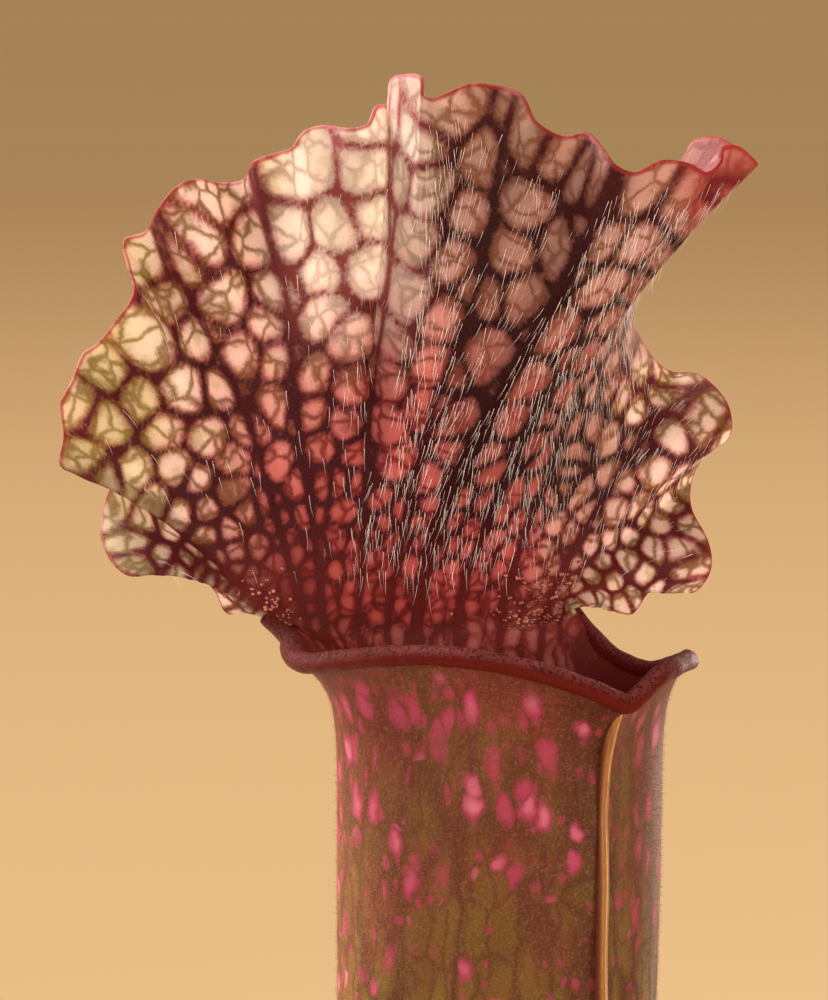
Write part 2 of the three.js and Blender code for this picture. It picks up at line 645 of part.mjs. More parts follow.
function pot() {
  const band = POT_HEIGHT - POT_BAND;
  const shoulder = POT_RIM_RADIUS - 2.4;
  const profile = [
    [0, 0], [POT_BASE_RADIUS - 1, 0], [POT_BASE_RADIUS, 1],
    [shoulder, band - 0.6], [POT_RIM_RADIUS - 0.6, band + 0.2],
    [POT_RIM_RADIUS, POT_HEIGHT - 0.8], [POT_RIM_RADIUS - 0.8, POT_HEIGHT],
    [POT_RIM_RADIUS - POT_WALL, POT_HEIGHT - 0.5],
    [POT_RIM_RADIUS - POT_WALL - 0.5, band + 1], [innerPotRadius(band), band - 1],
    [innerPotRadius(POT_WALL + 0.4), POT_WALL + 0.4], [0, POT_WALL + 0.4],
  ];
  const geometry = new THREE.LatheGeometry(profile.map(([r, z]) => new THREE.Vector2(r, z)), 40);
  geometry.rotateX(0.5 * Math.PI);
  let body = solidOf(geometry);
  for (let index = 0; index < DRAIN_COUNT; index += 1) {
    const angle = (2 * Math.PI * index) / DRAIN_COUNT;
    const hole = new THREE.CylinderGeometry(DRAIN_RADIUS, DRAIN_RADIUS, 12, 10);
    hole.rotateX(0.5 * Math.PI);
    hole.translate(DRAIN_CIRCLE * Math.cos(angle), DRAIN_CIRCLE * Math.sin(angle), 0);
    body = body.subtract(solidOf(hole));
  }
  return body;
}

// Scene graph

const plant = new THREE.Group();
plant.name = 'potted_pitcher_plant';

function place(name, solid, colour, roughness) {
  const material = new THREE.MeshStandardMaterial({ color: colour, roughness, metalness: 0 });
  const mesh = new THREE.Mesh(geometryOf(solid), material);
  mesh.name = name;
  plant.add(mesh);
}

place('pot', pot(), 0x2c2a28, 0.6);
place('soil', soil(), 0x3b2a1d, 0.95);
place('rhizome', rhizome(), 0x6a4a32, 0.8);
const leafRed = new THREE.Color(0x8a3338);
for (const spec of PITCHERS) {
  place(spec.name, openPitcher(spec), leafRed.clone().lerp(new THREE.Color(0x7d8a35), spec.green), 0.5);
}
for (const spec of YOUNG_LEAVES) {
  place(spec.name, youngPitcher(spec), new THREE.Color(0x86913f), 0.5);
}

export default plant;
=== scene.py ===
# Potted trumpet pitcher plant: a tall pitcher with a ruffled, veined hood, four shorter open ones
# and two young ones in a plain pot. Sizes below are in millimetres and become metres in the mesh.
import math
import bmesh
import bpy
import numpy as np
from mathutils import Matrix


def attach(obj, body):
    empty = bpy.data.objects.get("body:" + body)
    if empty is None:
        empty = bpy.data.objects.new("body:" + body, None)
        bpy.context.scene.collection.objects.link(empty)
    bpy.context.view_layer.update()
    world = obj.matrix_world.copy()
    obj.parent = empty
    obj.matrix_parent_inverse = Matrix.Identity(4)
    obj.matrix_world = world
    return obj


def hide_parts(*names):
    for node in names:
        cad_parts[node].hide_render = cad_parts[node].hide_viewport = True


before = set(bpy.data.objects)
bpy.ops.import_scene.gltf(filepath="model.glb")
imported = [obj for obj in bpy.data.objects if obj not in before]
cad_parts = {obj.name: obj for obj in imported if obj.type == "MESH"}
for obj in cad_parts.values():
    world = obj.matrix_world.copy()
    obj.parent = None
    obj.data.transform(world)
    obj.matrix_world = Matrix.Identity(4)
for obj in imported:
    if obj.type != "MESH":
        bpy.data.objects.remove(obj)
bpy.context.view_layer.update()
mm = 0.001
print("frame loaded, nodes:", len(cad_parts))

# The view: the hood and the top of the tube, seen from a little above
view = {
    "target": (-8.6, 0.0, 354.0),
    "distance": 700.0,
    "drop": math.radians(4.0),
    "seenHeight": 100.0,
    "sensor": 36.0,
    "clip": (0.02, 1000.0),
}


def makeCamera(settings):
    data = bpy.data.cameras.new("camera")
    data.sensor_width = settings["sensor"]
    data.lens = data.sensor_width * settings["distance"] / settings["seenHeight"]
    data.clip_start, data.clip_end = settings["clip"]
    camera = bpy.data.objects.new("camera", data)
    bpy.context.collection.objects.link(camera)
    forward = np.array([0.0, math.cos(settings["drop"]), -math.sin(settings["drop"])])
    camera.location = (np.array(settings["target"]) - forward * settings["distance"]) * mm
    camera.rotation_euler = (math.radians(90.0) - settings["drop"], 0.0, 0.0)
    bpy.context.scene.camera = camera


makeCamera(view)

studio = {
    "floorRadius": 300.0,
    "floorSides": 96,
    "floorDrop": 0.0002,
    "floorTone": (220, 196, 160),
    "potFloor": (150, 138, 124),       # under the lamps, where most light falls
    "nearFloor": (249, 222, 188),      # behind the plant
    "farFloor": (255, 255, 255),       # where it meets the background
    "potFade": (0.4, 1.7),             # between which distances, in metres
    "fade": (3.0, 24.0),
    "background": (166, 131, 87),
    # place, what it points at, size, power, colour
    "lamps": [
        ((-0.62, 0.42, 0.92), (-0.01, 0.0, 0.36), 0.5, 30.0, (1.0, 0.97, 0.92)),
        ((-0.8, -0.95, 0.45), (-0.01, 0.0, 0.3), 0.8, 9.5, (1.0, 0.97, 0.95)),
        ((0.95, -0.55, 0.4), (0.0, 0.0, 0.28), 0.5, 7.0, (1.0, 0.95, 0.9)),
        ((0.45, 0.8, 0.4), (0.01, 0.0, 0.3), 0.35, 3.0, (1.0, 0.95, 0.88)),
        ((0.0, 1.6, 8.0), (0.0, 1.6, 0.0), 4.0, 330.0, (1.0, 0.97, 0.76)),
    ],
}


# sRGB 0 to 255 as the linear colour that shaders want
def rgb(red, green, blue, alpha=1.0):
    parts = [value / 255.0 for value in (red, green, blue)]
    linear = [part / 12.92 if part <= 0.04045 else ((part + 0.055) / 1.055) ** 2.4 for part in parts]
    return (*linear, alpha)


# Small helpers for node trees: a value may be a socket or a plain number, and a colour may be
# three sRGB numbers from 0 to 255
class Tree:
    def __init__(self, nodeTree):
        self.tree = nodeTree

    def put(self, kind, inputs=None, **settings):
        node = self.tree.nodes.new(kind)
        for name, value in settings.items():
            setattr(node, name, value)
        for name, value in (inputs or {}).items():
            self.set(node.inputs[name], value)
        return node

    def set(self, socket, value):
        if isinstance(value, bpy.types.NodeSocket):
            self.tree.links.new(value, socket)
        else:
            socket.default_value = value

    def math(self, operation, first, second=0.0, third=0.0):
        inputs = {0: first, 1: second, 2: third}
        return self.put("ShaderNodeMath", inputs, operation=operation).outputs[0]

    def times(self, first, second):
        return self.math("MULTIPLY", first, second)

    def timesPlus(self, first, second, third):
        return self.math("MULTIPLY_ADD", first, second, third)

    def vectorMath(self, operation, first, second):
        key = "Scale" if operation == "SCALE" else 1
        return self.put("ShaderNodeVectorMath", {0: first, key: second}, operation=operation).outputs[0]

    # 0 up to low, 1 from high on, smooth between; low may be above high
    def step(self, value, low, high):
        inputs = {"Value": value, "From Min": low, "From Max": high, "To Min": 0.0, "To Max": 1.0}
        node = self.put("ShaderNodeMapRange", inputs, interpolation_type="SMOOTHSTEP", clamp=True)
        return node.outputs["Result"]

    def mix(self, share, first, second):
        node = self.put("ShaderNodeMix", data_type="RGBA", clamp_factor=True)
        self.set(node.inputs[0], share)
        for socket, colour in ((6, first), (7, second)):
            self.set(node.inputs[socket], rgb(*colour) if isinstance(colour, tuple) else colour)
        return node.outputs[2]

    def value(self, name):
        return self.put("ShaderNodeAttribute", attribute_name=name).outputs["Fac"]

    def vector(self, name):
        return self.put("ShaderNodeAttribute", attribute_name=name).outputs["Vector"]

    def place(self):
        return self.put("ShaderNodeTexCoord").outputs["Object"]

    def parts(self, vector):
        return self.put("ShaderNodeSeparateXYZ", {0: vector}).outputs

    def joined(self, **parts):
        return self.put("ShaderNodeCombineXYZ", parts).outputs[0]

    def noise(self, vector, scale, detail=3.0, roughness=0.5):
        inputs = {"Vector": vector, "Scale": scale, "Detail": detail, "Roughness": roughness}
        return self.put("ShaderNodeTexNoise", inputs).outputs["Fac"]

    def cells(self, vector, scale, feature="F1", randomness=1.0):
        inputs = {"Vector": vector, "Scale": scale, "Randomness": randomness}
        return self.put("ShaderNodeTexVoronoi", inputs, feature=feature)

    # how far a point is from the borders between cells
    def borders(self, vector, scale):
        return self.cells(vector, scale, "DISTANCE_TO_EDGE").outputs["Distance"]

    # the three random numbers of each cell
    def picks(self, cells):
        return self.put("ShaderNodeSeparateColor", {"Color": cells.outputs["Color"]}).outputs

    def stretch(self, vector, scale):
        return self.put("ShaderNodeMapping", {"Vector": vector, "Scale": scale}).outputs["Vector"]

    # a place pushed about by noise
    def bent(self, place, scale, amount):
        inputs = {"Vector": place, "Scale": scale, "Detail": 2.0}
        noise = self.put("ShaderNodeTexNoise", inputs).outputs["Color"]
        return self.vectorMath("ADD", place, self.vectorMath("SCALE", noise, amount))

    def bump(self, height, distance, strength=1.0):
        inputs = {"Height": height, "Distance": distance, "Strength": strength}
        return self.put("ShaderNodeBump", inputs).outputs["Normal"]


def newMaterial(name):
    material = bpy.data.materials.new(name)
    material.use_nodes = True
    material.node_tree.nodes.clear()
    return material, Tree(material.node_tree)


def finishMaterial(tree, shader):
    tree.put("ShaderNodeOutputMaterial", {"Surface": shader})


def finishSurface(tree, inputs):
    finishMaterial(tree, tree.put("ShaderNodeBsdfPrincipled", inputs).outputs["BSDF"])


# Meshes from arrays, in millimetres
def meshPiece(name, points, faces, material, attributes=None, smooth=True):
    mesh = bpy.data.meshes.new(name)
    faces = faces.tolist() if isinstance(faces, np.ndarray) else faces
    mesh.from_pydata((np.asarray(points) * mm).tolist(), [], faces)
    for key, values in (attributes or {}).items():
        values = np.asarray(values, dtype=np.float32)
        kind = "FLOAT_VECTOR" if values.ndim == 2 else "FLOAT"
        layer = mesh.attributes.new(key, kind, "POINT")
        layer.data.foreach_set("vector" if values.ndim == 2 else "value", values.ravel())
    mesh.polygons.foreach_set("use_smooth", [smooth] * len(mesh.polygons))
    mesh.materials.append(material)
    mesh.update()
    piece = bpy.data.objects.new(name, mesh)
    bpy.context.collection.objects.link(piece)
    return piece


def standFor(piece, slot, *nodes):
    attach(piece, "root")
    if nodes:
        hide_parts(*nodes)


# Geometry Nodes: a tree with named inputs, run on a piece and turned into a plain mesh
def newGeometryTree(name, inputs):
    group = bpy.data.node_groups.new(name, "GeometryNodeTree")
    group.interface.new_socket("Geometry", in_out="INPUT", socket_type="NodeSocketGeometry")
    for label, value in inputs.items():
        kind = "NodeSocketInt" if isinstance(value, int) else "NodeSocketFloat"
        socket = group.interface.new_socket(label, in_out="INPUT", socket_type=kind)
        socket.default_value = value
    group.interface.new_socket("Geometry", in_out="OUTPUT", socket_type="NodeSocketGeometry")
    tree = Tree(group)
    return group, tree, tree.put("NodeGroupInput"), tree.put("NodeGroupOutput")


def bedValue(tree, name, kind="FLOAT"):
    return tree.put("GeometryNodeInputNamedAttribute", {"Name": name}, data_type=kind).outputs["Attribute"]


def randomBetween(tree, low, high, seed):
    inputs = {0: low, 1: high, "Seed": seed}
    return tree.put("FunctionNodeRandomValue", inputs, data_type="FLOAT_VECTOR").outputs[0]


# Points on the bed, as thickly as its "cover" says
def spreadPoints(tree, socket):
    return tree.put("GeometryNodeDistributePointsOnFaces", {
        "Mesh": socket["Geometry"], "Density": tree.times(bedValue(tree, "cover"), socket["density"]),
        "Seed": socket["seed"],
    }, distribute_method="RANDOM").outputs["Points"]


def heightOf(tree):
    return tree.parts(tree.put("GeometryNodeInputPosition").outputs[0])["Z"]


def moved(tree, shape, offset):
    return tree.put("GeometryNodeSetPosition", {"Geometry": shape, "Offset": offset}).outputs[0]


# A cone along z, open unless it is filled
def spike(tree, sides, segments, top, bottom, depth, fill="NONE"):
    inputs = {
        "Vertices": sides, "Side Segments": segments, "Depth": depth,
        "Radius Top": top, "Radius Bottom": bottom,
    }
    return tree.put("GeometryNodeMeshCone", inputs, fill_type=fill).outputs["Mesh"]


def finishCopies(tree, end, points, shape, turn, scale, material):
    copies = tree.put("GeometryNodeInstanceOnPoints", {
        "Points": points, "Instance": shape, "Rotation": turn, "Scale": scale,
    }).outputs[0]
    real = tree.put("GeometryNodeRealizeInstances", {0: copies}).outputs[0]
    done = tree.put("GeometryNodeSetMaterial", {"Geometry": real, "Material": material}).outputs[0]
    tree.set(end.inputs[0], done)


def bakeGeometryNodes(name, bed, group, inputs, material):
    modifier = bed.modifiers.new(name, "NODES")
    modifier.node_group = group
    for item in group.interface.items_tree:
        if item.item_type == "SOCKET" and item.in_out == "INPUT" and item.name in inputs:
            modifier[item.identifier] = inputs[item.name]
    graph = bpy.context.evaluated_depsgraph_get()
    mesh = bpy.data.meshes.new_from_object(bed.evaluated_get(graph))
    bed.modifiers.remove(modifier)
    mesh.name = name
    mesh.materials.clear()
    mesh.materials.append(material)
    mesh.polygons.foreach_set("material_index", [0] * len(mesh.polygons))
    piece = bpy.data.objects.new(name, mesh)
    bpy.context.collection.objects.link(piece)
    print(name, "faces:", len(mesh.polygons))
    return piece


def makeStudio(settings):
    material, tree = newMaterial("pale_floor")
    coordinates = tree.place()
    away = tree.put("ShaderNodeVectorMath", {0: coordinates}, operation="LENGTH").outputs["Value"]
    fade = tree.step(away, *settings["fade"])
    colour = tree.mix(fade, settings["nearFloor"], settings["farFloor"])
    colour = tree.mix(tree.step(away, *reversed(settings["potFade"])), colour, settings["potFloor"])
    colour = tree.mix(tree.times(tree.step(away, 6.0, 2.0), 0.02), colour, settings["floorTone"])
    finishSurface(tree, {"Base Color": colour, "Roughness": 0.75})
    sides = settings["floorSides"]
    angles = np.linspace(0.0, 2.0 * np.pi, sides, endpoint=False)
    ring = np.stack([np.cos(angles), np.sin(angles), np.zeros(sides)], 1) * settings["floorRadius"] / mm
    floor = meshPiece("floor", ring, [list(range(sides))], material, smooth=False)
    floor.location.z = -settings["floorDrop"]
    world = bpy.data.worlds.new("studio")
    world.use_nodes = True
    background = world.node_tree.nodes["Background"]
    background.inputs["Color"].default_value = rgb(*settings["background"])
    bpy.context.scene.world = world
    for index, (place, aim, size, power, colour) in enumerate(settings["lamps"]):
        data = bpy.data.lights.new(f"softbox{index}", "AREA")
        data.shape = "DISK"
        data.size = size
        data.energy = power
        data.color = colour
        lamp = bpy.data.objects.new(f"softbox{index}", data)
        lamp.visible_camera = False
        bpy.context.collection.objects.link(lamp)
        lamp.location = place
        direction = np.array(aim) - np.array(place)
        lamp.rotation_euler = (
            math.acos(-direction[2] / np.linalg.norm(direction)),
            0.0,
            math.atan2(direction[1], direction[0]) - math.pi / 2.0,
        )


makeStudio(studio)
bpy.context.scene.view_settings.view_transform = "Standard"
print("studio ready")

# The open pitchers' shape, from the mouth. The edge runs from the right of the neck over the top
# to the left of the neck; across and up are as seen from the front, depth is the true y.
leafShape = {
    "edge": [
        (9.6, 8.8, 17.5), (13.0, 7.6, 20.5), (14.8, 9.7, 23), (17.2, 10.2, 26), (19.4, 9.9, 27.5),
        (21.0, 12.0, 25), (20.8, 14.8, 24.5), (19.1, 18.2, 28.5), (19.2, 21.4, 32), (20.8, 24.0, 30.5),
        (23.0, 25.6, 27), (22.6, 28.8, 26), (20.0, 31.4, 28.5), (17.0, 31.8, 29), (14.8, 33.8, 25),
        (13.2, 37.4, 21), (14.0, 42.0, 17), (16.6, 47.6, 12), (18.6, 53.0, 6), (19.6, 55.0, 4),
        (22.4, 55.0, 1.5), (25.7, 52.6, -3.5), (24.0, 54.2, -5), (22.4, 54.3, -6.5), (22.1, 52.8, -8),
        (20.7, 51.7, -9.5), (18.8, 52.6, -11), (16.2, 52.9, -12.5), (13.6, 51.7, -14), (11.6, 52.4, -15),
        (10.2, 54.2, -13), (8.7, 55.7, -10.5), (6.2, 55.3, -10), (3.6, 56.8, -11), (2.2, 59.4, -9.5),
        (0, 60.3, -7.5), (-3.2, 60.5, -6.5), (-6.3, 59.2, -7), (-7.7, 59.4, -8.2), (-7.9, 61.3, -7.6),
        (-9.6, 61.5, -4.5), (-10.9, 61.0, -1), (-11.2, 58.7, 1.5), (-12.4, 58.3, 0), (-13.2, 56.6, -1.5),
        (-15.0, 56.1, -2), (-17.5, 56.4, 1), (-19.6, 55.8, 2), (-20.8, 54.2, 0), (-22.4, 53.6, -3),
        (-24.6, 52.8, -2), (-25.6, 51.0, 1.5), (-28.0, 50.6, 3), (-30.3, 51.0, -0.5), (-32.4, 50.2, -4),
        (-34.2, 48.0, -3), (-35.4, 45.8, 0.5), (-37.6, 44.9, 2), (-37.2, 42.4, 0), (-36.6, 39.6, -3),
        (-38.3, 37.0, -3), (-40.2, 34.6, 0.5), (-41.8, 33.4, 1), (-42.8, 30.8, -2.5), (-43.9, 28.6, -4),
        (-43.6, 25.6, -3), (-43.9, 22.4, -5), (-41.0, 22.2, -1.5), (-38.6, 21.6, 3), (-39.4, 18.8, 7),
        (-39.9, 15.6, 5), (-38.8, 12.8, 2), (-36.6, 11.4, 0.5), (-33.8, 12.6, 3), (-31.2, 12.2, 5),
        (-28.6, 10.2, 5.5), (-27.3, 7.8, 8), (-25.2, 8.2, 6.5),
    ],
    # place along the edge, then x, y, z
    "neck": [
        (0, 7.9, 15.2, 6.6), (10, 5.5, 16.0, 5.2), (21, -2.0, 16.0, 4.2), (29, -8.5, 13.6, 4.0),
        (42, -15, 10.0, 4.4), (56, -19.5, 7.0, 5.2), (66, -22, 4.8, 6.0), (77, -23.3, 3.2, 6.8),
    ],
    "rise": [
        (0, 0.5, 0.8, 0.6), (10, 1.5, 2.5, 7), (21, 0.5, 0.5, 14), (29, 0, -0.5, 16),
        (42, 0, -1, 14), (56, -2.5, -1, 9), (66, -3.5, -1, 4.5), (77, -0.6, 0.8, 0.4),
    ],
    # place along the edge, then across, up, depth
    "reach": [
        (0, 9.0, 8.4, 17), (4, 12, 10.5, 20), (8, 13, 16, 22), (12, 12.5, 24, 19), (15, 11.5, 31, 14),
        (18, 12, 39.5, 6), (21, 12.6, 41.5, -3.5), (25, 11.5, 40, -6), (29, 7.5, 38.5, -6.5),
        (34, 0.5, 41, -4), (38, -7, 42, -5.5), (42, -11, 42, 1), (49, -19, 39, 0), (56, -27, 33, 0),
        (66, -33, 19, 1), (72, -31, 13, 3), (77, -24.5, 7.6, 5),
    ],
    "rim": [
        (-20.8, 5.2, -1.0), (-20.2, 3.6, -4.5), (-18.9, 2.7, -8.5), (-15.0, 3.1, -13.2),
        (-10.0, 3.5, -16.6), (-5.0, 3.4, -18.6), (0, 2.7, -19.6), (5, 1.5, -19.7), (9.5, -0.1, -18.9),
        (12.4, -1.35, -17.9), (13.8, -0.4, -16.9), (15.6, 1.4, -14.4), (17.2, 2.4, -11.5),
        (18.4, 3.0, -7.5), (18.2, 2.9, -3), (16.6, 2.3, 2.5), (14.2, 2.0, 7.2), (11.0, 3.5, 11.5),
        (9.2, 5.4, 13.8),
    ],
    "spout": 10,
    "apex": 29,
    "footRadius": 3.6,
    "swell": 12.3,
    "swellPower": 1.15,
    "flareLength": 12.0,
    "flarePower": 4.5,
    "front": -0.96,
    "keelHeight": 0.9,
    "keelWidth": 0.17,
    "wall": 0.9,
    "blade": 0.62,
    "thinEdge": 0.34,
    "stalk": 11.0,
    "bareFoot": 22.0,
}


# Points as the photo's camera sees them: across and up in the plane of the mouth, then the true y
def fromSight(rows):
    rows = np.asarray(rows, dtype=float)
    drop = view["drop"]
    middle = np.array([view["target"][0], 0.0, 19.0])
    forward = np.array([0.0, math.cos(drop), -math.sin(drop)])
    upward = np.array([0.0, math.sin(drop), math.cos(drop)])
    eye = middle - forward * view["distance"]
    across = np.outer(rows[:, 0] - middle[0], [1.0, 0.0, 0.0])
    target = middle + across + np.outer(rows[:, 1] - middle[2], upward)
    line = target - eye
    return eye + line * ((rows[:, 2] - eye[1]) / line[:, 1])[:, None]


# A smooth curve through points at given places, with its slopes from the neighbours
class PlacedCurve:
    def __init__(self, places, points):
        self.places = np.asarray(places, dtype=float)
        self.points = np.asarray(points, dtype=float)
        before = np.maximum(np.arange(len(points)) - 1, 0)
        after = np.minimum(np.arange(len(points)) + 1, len(points) - 1)
        span = (self.places[after] - self.places[before])[:, None]
        self.slopes = (self.points[after] - self.points[before]) / span

    def at(self, places):
        places = np.asarray(places, dtype=float)
        index = np.clip(np.searchsorted(self.places, places, side="right") - 1, 0, len(self.places) - 2)
        span = (self.places[index + 1] - self.places[index])[..., None]
        t = (places - self.places[index])[..., None] / span
        point = (2 * t**3 - 3 * t**2 + 1) * self.points[index]
        point = point + (t**3 - 2 * t**2 + t) * span * self.slopes[index]
        point = point + (3 * t**2 - 2 * t**3) * self.points[index + 1]
        return point + (t**3 - t**2) * span * self.slopes[index + 1]


def curveFrom(rows, sight=False):
    rows = np.asarray(rows, dtype=float)
    return PlacedCurve(rows[:, 0], fromSight(rows[:, 1:]) if sight else rows[:, 1:])


edgeEnd = float(len(leafShape["edge"]) - 1)
edgeCurve = PlacedCurve(np.arange(len(leafShape["edge"])), fromSight(leafShape["edge"]))
neckCurve = curveFrom(leafShape["neck"])
riseCurve = curveFrom(leafShape["rise"])
reachCurve = curveFrom(leafShape["reach"], sight=True)
rimPoints = np.vstack([neckCurve.at([edgeEnd]), fromSight(leafShape["rim"]), neckCurve.at([0.0])])
rimCurve = PlacedCurve(np.arange(len(rimPoints)), rimPoints)
rimEnd = float(len(rimPoints) - 1)


# The hood's middle surface: place along the edge, and 0 at the neck to 1 at the edge
def hoodPoints(place, t):
    neck = neckCurve.at(place)
    t = np.asarray(t, dtype=float)[..., None]
    point = (1 - t) ** 3 * neck + 3 * t * (1 - t) ** 2 * (neck + riseCurve.at(place))
    return point + 3 * t**2 * (1 - t) * reachCurve.at(place) + t**3 * edgeCurve.at(place)


def tubeRadius(rise):
    share = np.sin(0.5 * np.pi * rise ** leafShape["swellPower"])
    return leafShape["footRadius"] + leafShape["swell"] * share


def keel(angle, rise):
    away = np.arctan2(np.sin(angle - leafShape["front"]), np.cos(angle - leafShape["front"]))
    height = leafShape["keelHeight"] * np.exp(-((away / leafShape["keelWidth"]) ** 2))
    return height * np.minimum(1.0, 3.0 * rise)


def smoothStep(value, low, high):
    share = np.clip((value - low) / (high - low), 0.0, 1.0)
    return share * share * (3.0 - 2.0 * share)


# How far each point of the hood is from the neck along its rib, and from the apex rib along its row
class HoodChart:
    def __init__(self):
        self.places = np.linspace(0.0, edgeEnd, 463)
        self.steps = np.linspace(0.0, 1.0, 81)
        grid = hoodPoints(self.places[None, :], self.steps[:, None] * np.ones_like(self.places)[None, :])
        alongStep = np.linalg.norm(np.diff(grid, axis=0), axis=2)
        self.along = np.vstack([np.zeros(len(self.places)), np.cumsum(alongStep, axis=0)])
        acrossStep = np.linalg.norm(np.diff(grid, axis=1), axis=2)
        across = np.hstack([np.zeros((len(self.steps), 1)), np.cumsum(acrossStep, axis=1)])
        self.across = across - across[:, [int(leafShape["apex"] / edgeEnd * 462)]]

    def read(self, table, place, t):
        x = np.clip(np.asarray(place, dtype=float) / edgeEnd, 0.0, 1.0) * (len(self.places) - 1)
        y = np.clip(np.asarray(t, dtype=float), 0.0, 1.0) * (len(self.steps) - 1)
        column = np.minimum(x.astype(int), len(self.places) - 2)
        row = np.minimum(y.astype(int), len(self.steps) - 2)
        x = x - column
        y = y - row
        low = table[row, column] * (1 - x) + table[row, column + 1] * x
        high = table[row + 1, column] * (1 - x) + table[row + 1, column + 1] * x
        return low * (1 - y) + high * y


chart = HoodChart()

# The windows between the veins: cells in lanes that run from the tube's back wall out to the edge
windowPattern = {
    "seed": 7,
    "lanesRight": 4,           # from the neck's right end to the midrib
    "lanesLeft": 6,            # from the midrib to the neck's left end
    "firstRow": -17.0,
    "rowStep": (2.2, 5.6),     # near the neck, near the edge
    "cellWidth": (2.1, 5.4),
    "growth": (2.0, 36.0),     # from where to where they grow
    "jitter": 0.42,
    "evened": 1,               # rounds of evening out
    "roundness": 6.5,          # lower is rounder
    "ribWidth": 0.16,          # how much wider the main ribs are
    "midribWidth": 0.5,
}


